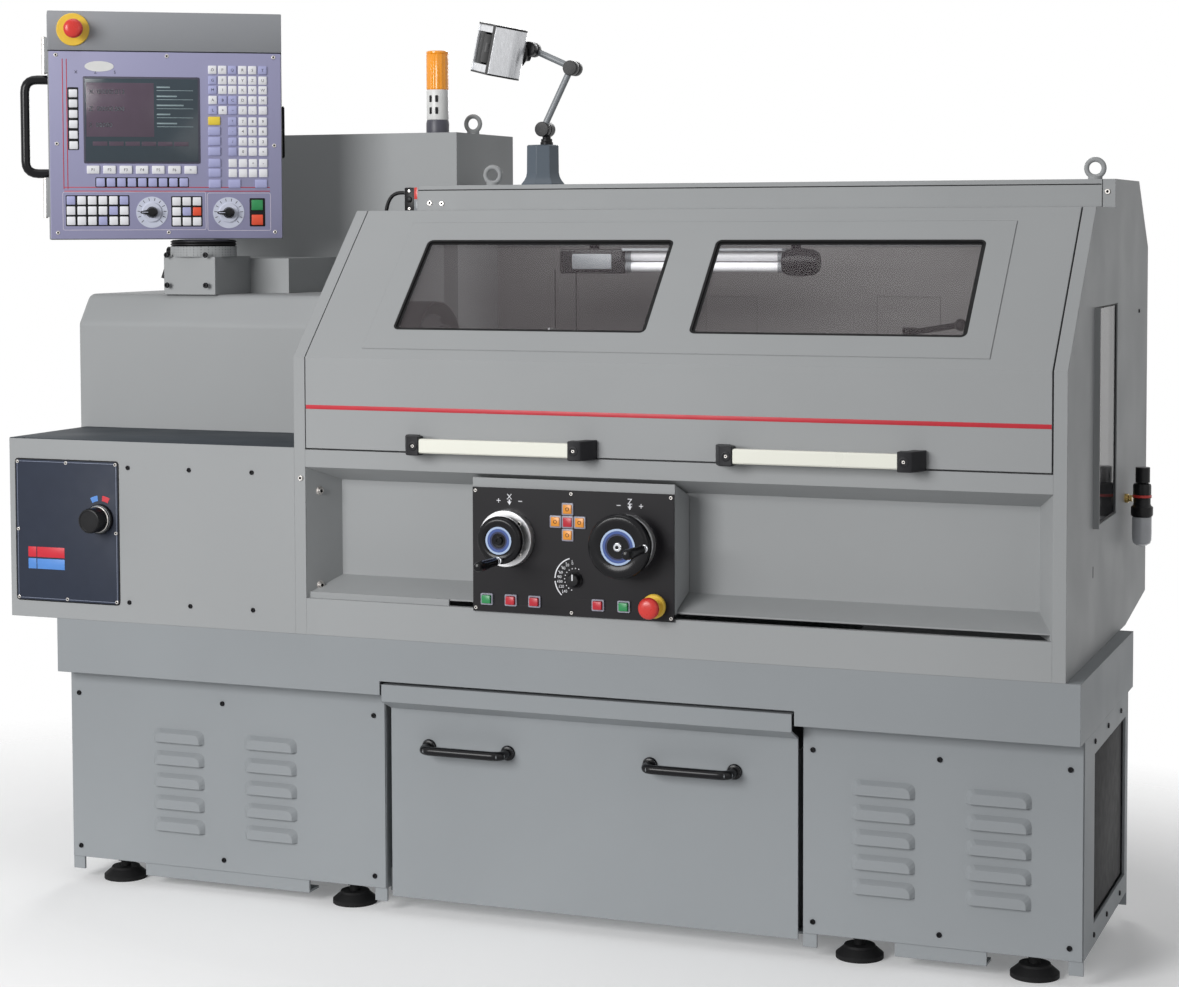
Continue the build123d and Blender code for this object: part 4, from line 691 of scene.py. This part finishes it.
def build_controls():
    build_handwheel("x_handwheel", rim=45, face=45, crank=(72, 104), ring=26, hub_key="gloss_black")
    build_handwheel("z_handwheel", rim=60, face=55, crank=(364.5, 141), ring=33.5, hub_key="chrome")
    knob = Shapes(BOX)
    knob.turned(JOG_SPOT, [(15, 0.8), (15, 4), (13, 6), (11.6, 14), (10.4, 15.4), (6, 15.8)],
                "plastic", 40, flutes=20, depth=0.6)
    knob.slab((206.6, 209.4), (69, 80.5), (15.4, 16.4), "mark", edge=0.2)
    knob.finish("feed_knob", "jog_knob", stands_for=("jog_knob",))
    for name, x, colour in BUTTONS:
        cap = Shapes(BOX)
        cap.slab(about(x, 8.8), (16.4, 31.6), (3.4, 8.8), "key_" + colour, 1.5, 0.9)
        cap.finish(name + "_cap", name, stands_for=(name,))
    build_mushroom("carriage_stop", BOX, CARRIAGE_STOP_SPOT)
    build_mushroom("panel_stop", PANEL, PANEL_STOP_SPOT)


def build_mushroom(name, place, centre):
    """A red mushroom head on its stem."""
    head = Shapes(place)
    head.turned(centre, [(9.6, 6.9), (9.6, 25), (12, 26.5), (18.6, 27.5), (20, 29.5), (20, 33),
                         (18.6, 36.5), (15.2, 39.2), (10, 40.6), (4, 41)],
                ["white"] + ["red"] * 8, 48)
    head.finish(name + "_head", name, stands_for=(name,))


# Operator panel

PANEL_STOP_SPOT = (-191, 200)
DIAL_SPOTS = {"feed_dial": (-32.6, -181.5), "speed_dial": (128.2, -182.7)}


def build_panel_case():
    case = Shapes(PANEL)
    case.slab((-243.5, 243.5), (-239, 239), (-76, -4.4), "panel_case", 3, 1.2)
    case.slab((-243.3, 243.3), (157, 238.8), (-6, -0.4), "panel_case", 2, 1)
    case.slab((-241.5, 241.5), (-237, 155), (-6, -0.3), "panel_face", 2, 0.8)
    # The black strip between the face and the top band is painted shade in the gap.
    case.slab((-243.4, 243.4), (155, 157), (-6, -4.2), "pit", edge=0.2)
    for u, v in ((-227, 147), (2, 147), (226, 147), (-227, -224), (2, -224), (226, -224), (-227, -38),
                 (226, -40)):
        case.bolt(u, v, -0.3, 4.2, "zinc", 0.35)
    case.slab((243.2, 250.2), (-66, 44), (-34, -12), "plastic", 4, 1.5)
    for low, high in ((110, 184), (-191, -108)):
        case.slab((-250.5, -243.2), (low, high), (-46, -14), "body", 2, 1)
        case.tube([(-251, low - 2, -30), (-251, high + 2, -30)], 4.6, "zinc", 14)
    case.turned(PANEL_STOP_SPOT, [(34, -0.5), (34, 2), (32.5, 3.4), (16, 3.4), (15, 4.2), (11.5, 4.2),
                                  (11.5, -0.5)], "yellow", 48, closed=True)
    oval = [(-138 + x, 124 + y * 11 / 30) for x, y in circle((0, 0), 30, 40)]
    case.sheet(oval, (-0.5, 0.15), "white")
    handle = rounded_path([(-243, 96, -30), (-290.5, 96, -30), (-290.5, -100, -30), (-243, -100, -30)], 26)
    case.tube(handle, 9.6, "gloss_black", 18)
    case.finish("panel_case", "control_panel", stands_for=("panel_housing",))


def build_panel_marks():
    marks = Shapes(PANEL)
    flat = (-0.35, -0.08)
    for u in (-213.6, -205.4):
        marks.slab(about(u, 0.8), (-133, 139), flat, "stripe", edge=0.05)
    for v in (-129, -137):
        marks.slab((-213, 216), about(v, 0.8), flat, "stripe", edge=0.05)
    for left, right, low, high in ((-216.7, 80.8, -219, -138.4), (83.6, 217.5, -221, -140.4)):
        outer = rectangle((left, right), (low, high), 4)
        marks.frame(outer, inset(outer, 1), flat, "line")
    marks.slab((-172, 70), (-79, 103), (-0.35, 0.9), "bezel_dark", 3, 0.6)
    marks.slab((-168, 66), (-75, 99), (0.8, 1.1), "screen", 1.5, 0.1)
    marks.slab((-166, -26), (-23, 90), (1.05, 1.25), "screen_window", edge=0.05)
    for v, words in ((71.4, "X  00000.013"), (35.6, "Z  00000.000"), (1.9, "S  00000")):
        marks.write(words, -160, v, 1.3, 13.5, "glow_text", centred=False)
    for row in range(5):
        marks.slab((-20, 56), (74 - row * 19, 75.2 - row * 19), (1.05, 1.2), "glow_text", edge=0.05)
        marks.slab((-20, 8 + row % 3 * 14), (80 - row * 19, 83 - row * 19), (1.05, 1.2), "glow_text",
                   edge=0.05)
    for u in evenly(-153.2, 33.7, 6):
        marks.slab((u, u + 30), (-42, -33), (1.05, 1.2), "screen_window", edge=0.05)
    # Black fields behind the key groups are painted shadow, showing as dark borders round the keys.
    for left, right, low, high in ((-204, -181.7, -51, 80), (-149, 44.6, -129, -108),
                                   (172.5, 205.4, -212, -151.7), (7.6, 72.8, -211.8, -147.6),
                                   (-210.6, -79.2, -210.2, -145.6)):
        marks.slab((left, right), (low, high), (-0.35, 0.1), "pit", 2, 0.1)
    for u, v in DIAL_SPOTS.values():
        marks.turned((u, v), [(33, -0.35), (33, 0.4)], "dial", 48)
        for angle in evenly(-45, 24.5, 12):
            turn = Matrix.Rotation(math.radians(angle), 2)
            tick = [Vector((u, v)) + turn @ Vector(point) for point in rectangle((24.5, 30.5), (-0.6, 0.6))]
            marks.sheet(tick, (0.35, 0.6), "pit")
    for row, letter in enumerate("XZS"):
        marks.write(letter, -186 + row * 40, 112, 0, 9, "pit")
    marks.finish("panel_marks", "control_panel")


def keypad(keys, columns, rows, width=17.5, key="key_white", special=None, height=17.7, letters=""):
    """Rows of key caps with their letters. special gives other colours by row and column."""
    for row, v in enumerate(rows):
        for column, u in enumerate(columns):
            keys.slab(about(u, width / 2), about(v, height / 2), (-0.1, 2.6),
                      (special or {}).get((row, column), key), 1.6, 0.9)
            letter = letters[row * len(columns) + column] if letters else " "
            if letter != " ":
                keys.write(letter, u, v, 2.75, 8.5, "pit")


def build_panel_keys():
    keys = Shapes(PANEL)
    keypad(keys, (-192.6,), (67.2, 46.1, 24.2, 2.8, -19.2, -41.1), height=16.5)
    lilac = dict.fromkeys(((0, 2), (0, 5), (1, 0), (2, 0), (3, 1), (3, 2), (4, 0), (4, 2)), "key_lilac")
    keypad(keys, (96.9, 117.8, 138.7, 160, 180.9, 202.6), (119.4, 97.6, 77.1, 55.7, 34.3), 17.7,
           special=lilac, letters="OPQRSTGFXYZUMIJKVWABCDEHL+−/,.")
    keypad(keys, (99.5,), (11.7, -9.7, -31.1, -52.8, -77.1, -98, -121), 25.4, "key_lilac",
           {(0, 0): "key_yellow"})
    keypad(keys, (137.9, 159.6, 180.5, 202.2), (10.9, -10.1, -31.9, -53.2, -77.5, -98.8), 17.7,
           special={(row, 0): "key_lilac" for row in range(4)}, letters="*789-456/123 0.=  +-    ")
    keypad(keys, (141, 197.4), (-121,), 25.4, "key_lilac")
    keypad(keys, evenly(-153.2, 33.7, 7), (-92,), 26, height=17,
           letters=("F1", "F2", "F3", "F4", "F5", "F6", ">"))
    keypad(keys, evenly(-138.3, 21.6, 9), (-118.6,), key="key_lilac")
    keypad(keys, evenly(-199.8, 21.9, 6), evenly(-156.4, -21.4, 3),
           special=dict.fromkeys(((0, 0), (0, 5), (1, 4), (2, 3)), "key_lilac"))
    keypad(keys, evenly(18.8, 21.4, 3), evenly(-158.6, -21.2, 3),
           special={(1, 1): "key_lilac", (1, 2): "orange"})
    keypad(keys, (188.6,), (-166.5, -198), 24, "key_green", {(1, 0): "orange"}, 22)
    keys.finish("panel_keys", "control_panel")


def build_dials():
    for name, (u, v) in DIAL_SPOTS.items():
        dial = Shapes(PANEL)
        dial.turned((u, v), [(21, 0.8), (21, 2.4), (19.6, 3.4), (12, 3.6), (11.4, 4.4)],
                    ["dial"] * 3 + ["plastic"], 44)
        dial.turned((u, v), [(11.5, 3.4), (11, 8), (9.6, 14.8), (7.6, 16.6), (4, 17.2)], "plastic", 36)
        grip = [(-23, -2.4), (-25, 0), (-23, 2.4), (-8, 5.4), (9, 5), (12, 0), (9, -5), (-8, -5.4)]
        dial.plate([(u + x, v + y) for x, y in grip][::-1], (4, 17.4), "plastic", 1.2)
        dial.slab((u - 22, u - 9), about(v, 0.7), (17.2, 17.7), "dial", edge=0.1)
        dial.finish(name + "_knob", name, stands_for=(name,))


def build_panel_arm_trim():
    post = Shapes(upright(-1913, 379))
    profile = [(46, 1276)]
    for low in evenly(1276.5, 5.6, 6):
        profile += [(68, low), (70, low + 1.4), (70, low + 3.4), (67, low + 5)]
    profile += [(64, 1310.6), (48, 1311.4)]
    post.turned((0, 0), profile, "plastic", 56)
    post.finish("panel_swivel_boot", "control_panel")
    arm = Shapes(FRONT)
    for x in (-1962, -1868):
        for z in (1215, 1279):
            arm.bolt(x, z, -309, 6)
    arm.finish("arm_bolts", "base")


# Signal tower, lamp, air unit and fittings on the guard

def build_tower():
    tower = Shapes(upright(-1529, 745))
    tower.turned((0, 0), [(25.4, 1544.4), (25.6, 1548), (25.6, 1566), (24, 1573), (21, 1574.5)],
                 "tower_base", 44)
    tower.turned((0, 0), [(23.6, 1573.5), (24.4, 1576), (24.4, 1637), (23.2, 1640)], "white", 44)
    tower.turned((0, 0), [(22.5, 1639.5), (24.6, 1641.5), (24.6, 1716), (23.4, 1719.5)], "lens", 64,
                 flutes=32, depth=0.9)
    tower.turned((0, 0), [(24.4, 1718.8), (25, 1720.5), (24.6, 1723.6), (21.5, 1725.6), (8, 1726)],
                 "lens", 44)
    tower.finish("signal_lamp", "base", stands_for=("signal_tower",))
    # The black slots in the tower are painted shade in its openings.
    slots = Shapes(FRONT)
    for x in (-1538, -1524):
        for z in (1586, 1612):
            slots.slab((x, x + 6), (z, z + 15), (-722.6, -720.4), "pit", 1.5, 0.3)
    slots.finish("signal_slots", "base")


ELBOW = (-1213, 1542)
KNEE = (-1149, 1669)
NECK = (-1243, 1711)


def depth_of(node):
    """How far in front of the guard's face a node starts and ends, in millimetres."""
    return [-(corner.y - CORNER.y) * 1000 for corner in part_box(node)]


def build_lamp_arms():
    for name, ends in (("lamp_lower", (ELBOW, KNEE)), ("lamp_upper", (KNEE, NECK))):
        node = name + "_arm"
        near, far = depth_of(node)
        arm = Shapes(FRONT)
        arm.tube([(*spot, (near + far) / 2) for spot in ends], 7, "arm_grey", 18)
        for spot in ends:
            arm.turned(spot, [(12, far + 0.2), (15, far + 0.8), (15.8, far + 2.6), (15.8, near - 2),
                              (15, near - 0.4), (12, near - 0.2)], "plastic", 36)
        arm.finish(name + "_tube", node, stands_for=(node,))


def build_lamp_base():
    foot, top = (corner.z * 1000 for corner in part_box("lamp_base"))
    base = Shapes(upright(-1218, 600))
    base.turned((0, 0), [(49, foot + 0.1), (49, foot + 3), (43, foot + 10), (38.5, foot + 18),
                         (36.6, foot + 27), (36, top - 15), (33, top - 13)], "lamp_paint", 8)
    base.turned((5, 10), [(13.5, top - 14), (13.5, top - 7), (12, top - 5.5), (12, top)], "plastic", 28)
    base.finish("lamp_foot", "base", stands_for=("lamp_base",))


def shade_outline(pad, front):
    """The lamp shade from above: straight sides and a round back."""
    reach = 49 - pad
    return [(front, -reach)] + circle((41, 0), reach, 30, -90, 180) + [(front, reach)]


def build_lamp_head():
    """A polished U-shaped shade between black end caps, with a switch box in its mouth."""
    swing, tilt = math.radians(46), math.radians(12)
    back = Vector((math.cos(swing) * math.cos(tilt), math.sin(swing), -math.cos(swing) * math.sin(tilt)))
    up = Vector((math.sin(tilt), 0, math.cos(tilt)))
    origin = at(NECK[0], 600, NECK[1]) - (back * 108 + up * 69) / 1000
    head = Shapes(facing(origin, along=back, up=up.cross(back)))
    shell = shade_outline(0.2, 0.5) + shade_outline(2.6, 0.5)[::-1]
    head.sheet(shell, (3.8, 102.2), "shade")
    for low, high in ((0.1, 4), (102, 105.9)):
        head.plate(shade_outline(0, 0.2), (low, high), "gloss_black", 0.8)
    for low, high in ((3.9, 20), (88, 102.1)):
        head.slab((2, 34), (-46, 46), (low, high), "shade", 3, 0.5)
    head.slab((1, 30), (-46.2, -30), (4, 102), "gloss_black", edge=0.5)
    head.slab((0.5, 26), (-34, 10), (24, 84), "plastic", 4, 2)
    head.slab((-0.5, 6), (-28, -8), (46, 66), "gloss_black", 2, 1.2)
    head.slab((4, 30), (10, 46.2), (20, 88), "gloss_black", 2, 1.2)
    cone = Shapes(facing(origin + (back * 89 + up * 53) / 1000, along=up, up=back.cross(up)))
    cone.turned((0, 0), [(24, -4), (24, 1.5), (17, 6), (11, 11), (9.5, 16), (9, 18)], "plastic", 32)
    joint = Shapes(FRONT)
    near, far = depth_of("lamp_lower_arm")
    joint.turned(NECK, [(12, far + 0.2), (15, far + 0.8), (15.8, far + 2.6), (15.8, near - 2.6),
                        (15, near - 0.8), (12, near - 0.2)], "plastic", 36)
    joint.finish("lamp_neck_joint", "lamp_head")
    cone.finish("lamp_bracket", "lamp_head")
    head.finish("lamp_shade", "lamp_head", stands_for=("lamp_head",))


def build_work_light():
    light = Shapes(FRONT)
    light.slab((-1209, -1066), (1236, 1288), (-730, -670), "gloss_black", 5, 2.5)
    light.slab((-1180, -1090), (1246, 1278), (-670.6, -669.2), "arm_grey", 3, 0.4)
    light.slab((-1068, -712), (1284, 1290), (-728, -674), "arm_grey", edge=1)
    for z in (1250, 1273):
        light.tube([(-1070, z, -700), (-710, z, -700)], 10.5, "tube_light", 18)
        for x in (-1060, -720):
            light.tube([(x - 7, z, -700), (x + 7, z, -700)], 12, "arm_grey", 18)
    rings = [(-716, 23), (-706, 28), (-680, 30), (-652, 27), (-641, 20)]
    light.tube([(x, 1261, -700) for x, _ in rings], [radius for _, radius in rings], "gloss_black", 24)
    for x in (-1140, -690):
        light.slab(about(x, 9), (1282, 1420.6), (-706, -694), "gloss_black", edge=1)
    light.finish("work_lamp", "base", stands_for=("work_light",))
    wall = Shapes(FRONT)
    for x, z in (((-574, -433), (1100, 1187)), ((-960, -840), (1100, 1185))):
        outline = rectangle(x, z, 5)
        wall.frame(outline, inset(outline, 3), (-914.6, -912.4), "inside")
    # Thin black strips on the back wall are painted shade in its seams.
    for x in (-1318, -1267):
        wall.slab(about(x, 1.2), (960, 1240), (-914.6, -913.2), "recess", edge=0.2)
    wall.finish("back_wall_trim", "base")


def build_air_unit():
    unit = Shapes(SIDE)
    unit.turned((640, 800), [(9, -0.6), (9, 6), (6.5, 8), (6.5, 14)], "brass", 24)
    unit.finish("air_fitting", "base")
    body = Shapes(upright(33, 640))
    body.turned((0, 0), [(15, 764), (20, 766), (21.4, 769), (21.4, 784), (18, 787), (16.6, 790),
                         (16.6, 801), (19, 803)], "plastic", 40)
    body.turned((0, 0), [(18.6, 803), (18.6, 807.5), (17.5, 808.2)], "red", 40)
    body.turned((0, 0), [(17, 807.8), (17.6, 809), (17.6, 826), (16.2, 829.5), (12, 831)], "plastic", 40,
                flutes=20, depth=0.7)
    body.turned((0, 0), [(5, 707.6), (10, 708.6), (16.5, 713), (18.6, 720), (19, 732), (19, 764.6)],
                "bowl", 40)
    body.turned((0, 0), [(4.5, 710), (4.5, 752), (8, 754), (8, 763)], "white", 20)
    body.finish("air_filter", "base", stands_for=("air_unit",))


def build_interlock():
    lock = Shapes(FRONT)
    lock.slab((-1493.3, -1470.5), (1369.4, 1420.4), (-527, -496.6), "plastic", 2.5, 1.2)
    lock.slab((-1470.8, -1460.6), (1395, 1420.4), (-527, -496.6), "red", 1.5, 1)
    lock.slab((-1470.8, -1460.6), (1369.4, 1394), (-527, -496.6), "arm_grey", 1.5, 1)
    for z in (1376, 1413):
        lock.bolt(-1482, z, -496.6, 3, "zinc", 0.4)
    lock.slab((-1497.5, -1493), (1403, 1415), (-518, -506), "plastic", 3, 1)
    lock.turned((-1482, 1395), [(6.5, -497), (6.5, -494.5), (5, -493.6)], "plastic", 24)
    lock.finish("interlock_switch", "base")
    gland = Shapes(upright(-1538, 512))
    gland.turned((0, 0), [(9, 1195.3), (9, 1200), (7.5, 1202), (7.5, 1206), (5.5, 1208)], "plastic", 6)
    gland.finish("lead_gland", "base")
    route = [(-1497, 1409), (-1514, 1411), (-1534, 1401), (-1545, 1372), (-1545, 1320), (-1539, 1262),
             (-1538, 1207)]
    curve = bpy.data.curves.new("switch_lead", "CURVE")
    curve.dimensions = "3D"
    curve.bevel_depth = 0.004
    curve.bevel_resolution = 4
    spline = curve.splines.new("NURBS")
    spline.points.add(len(route) - 1)
    for point, (x, z) in zip(spline.points, route):
        point.co = (*at(x, 512, z), 1)
    spline.order_u = 3
    spline.use_endpoint_u = True
    spline.resolution_u = 12
    curve.materials.append(MATERIALS["plastic"])
    lead = add_object("switch_lead", curve)
    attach(lead, "base")


dress_nodes()
for build in (build_fasteners, build_sheet_trim, build_drawer_pulls, build_door_handles, build_selector,
              build_control_box, build_controls, build_panel_case, build_panel_marks, build_panel_keys,
              build_dials, build_panel_arm_trim, build_tower, build_lamp_base, build_lamp_arms,
              build_lamp_head, build_work_light, build_air_unit, build_interlock):
    build()

# Studio

CAMERA_SPOT = at(736, -4158, 1338)
CAMERA_YAW = math.radians(21.24)
CAMERA_PITCH = math.radians(3.02)
CAMERA_ROLL = math.radians(-0.18)
CAMERA_LENS = 73.92
CAMERA_SHIFT = -0.1187


def build_camera():
    data = bpy.data.cameras.new("camera")
    data.lens = CAMERA_LENS
    data.sensor_width = 36.0
    data.shift_y = CAMERA_SHIFT
    camera = add_object("camera", data)
    camera.matrix_world = (Matrix.Translation(CAMERA_SPOT) @ Matrix.Rotation(CAMERA_YAW, 4, "Z")
                           @ Matrix.Rotation(math.pi / 2 - CAMERA_PITCH, 4, "X")
                           @ Matrix.Rotation(CAMERA_ROLL, 4, "Z"))
    bpy.context.scene.camera = camera


def build_lamp(name, spot, target, size, power):
    data = bpy.data.lights.new(name, "AREA")
    data.shape = "RECTANGLE"
    data.size, data.size_y = size
    data.energy = power
    lamp = add_object(name, data)
    lamp.location = spot
    lamp.rotation_euler = (Vector(target) - Vector(spot)).to_track_quat("-Z", "Y").to_euler()
    lamp.visible_camera = False


def white_for_camera(tree, plain, target):
    """Shows white to the camera, glossy and see-through rays, and plain to the rest."""
    rays = tree.nodes.new("ShaderNodeLightPath")
    seen = rays.outputs["Is Camera Ray"]
    for output in ("Is Glossy Ray", "Is Transmission Ray"):
        either = tree.nodes.new("ShaderNodeMath")
        either.operation = "MAXIMUM"
        wire(tree, seen, either.inputs[0])
        wire(tree, rays.outputs[output], either.inputs[1])
        seen = either.outputs[0]
    white = tree.nodes.new("ShaderNodeBackground")
    set_inputs(white, {"Color": (1, 1, 1, 1)})
    mix = tree.nodes.new("ShaderNodeMixShader")
    wire(tree, seen, mix.inputs["Fac"])
    wire(tree, plain, mix.inputs[1])
    wire(tree, white.outputs[0], mix.inputs[2])
    wire(tree, mix.outputs[0], target)


def build_studio():
    scene = bpy.context.scene
    scene.view_settings.view_transform = "Standard"
    world = bpy.data.worlds.new("studio")
    scene.world = world
    world.use_nodes = True
    tree = world.node_tree
    sky = tree.nodes["Background"]
    set_inputs(sky, {"Color": (0.97, 0.98, 1, 1), "Strength": 0.22})
    white_for_camera(tree, sky.outputs[0], tree.nodes["World Output"].inputs["Surface"])
    build_floor()
    build_lamp("key", (-1.9, -5.2, 2.3), (-0.1, 0, 0.9), (2.6, 2.2), 220)
    build_lamp("fill", (4.2, -2.6, 2.4), (0.6, 0, 0.8), (1.6, 2.4), 10)
    build_lamp("top", (-0.6, -0.6, 4.2), (-0.2, 0, 0), (3, 1.6), 22)
    build_lamp("back", (-1.4, 5.2, 2.6), (-0.2, 0.4, 0.9), (2.6, 2), 120)
    build_lamp("inner", at(-760, 560, 1345), at(-760, 900, 1080), (1.1, 0.12), 2.4)


def build_floor():
    """A pale floor that fades out some way from the machine."""
    floor = bpy.data.meshes.new("floor")
    floor.from_pydata([(x, y, 0) for x, y in circle((0, 0), 3, 64)], [], [tuple(range(64))])
    ground = add_object("floor", floor)
    material, tree, shader = new_material("floor")
    wire(tree, ramp(tree, noise(tree, 0.8, 3), (0.9, 0.9, 0.9, 1), (0.94, 0.94, 0.94, 1)),
         shader.inputs["Base Color"])
    set_inputs(shader, {"Roughness": 0.9, "Emission Color": (1, 1, 1, 1), "Emission Strength": 0.14})
    coords = tree.nodes.new("ShaderNodeTexCoord")
    mapping = tree.nodes.new("ShaderNodeMapping")
    set_inputs(mapping, {"Scale": (0.4, 0.62, 1)})
    fade = tree.nodes.new("ShaderNodeTexGradient")
    fade.gradient_type = "SPHERICAL"
    wire(tree, coords.outputs["Object"], mapping.inputs["Vector"])
    wire(tree, mapping.outputs["Vector"], fade.inputs["Vector"])
    wire(tree, ramp(tree, fade.outputs["Fac"], 0, 1, 0.02, 0.5), shader.inputs["Alpha"])
    floor.materials.append(material)


build_camera()
build_studio()
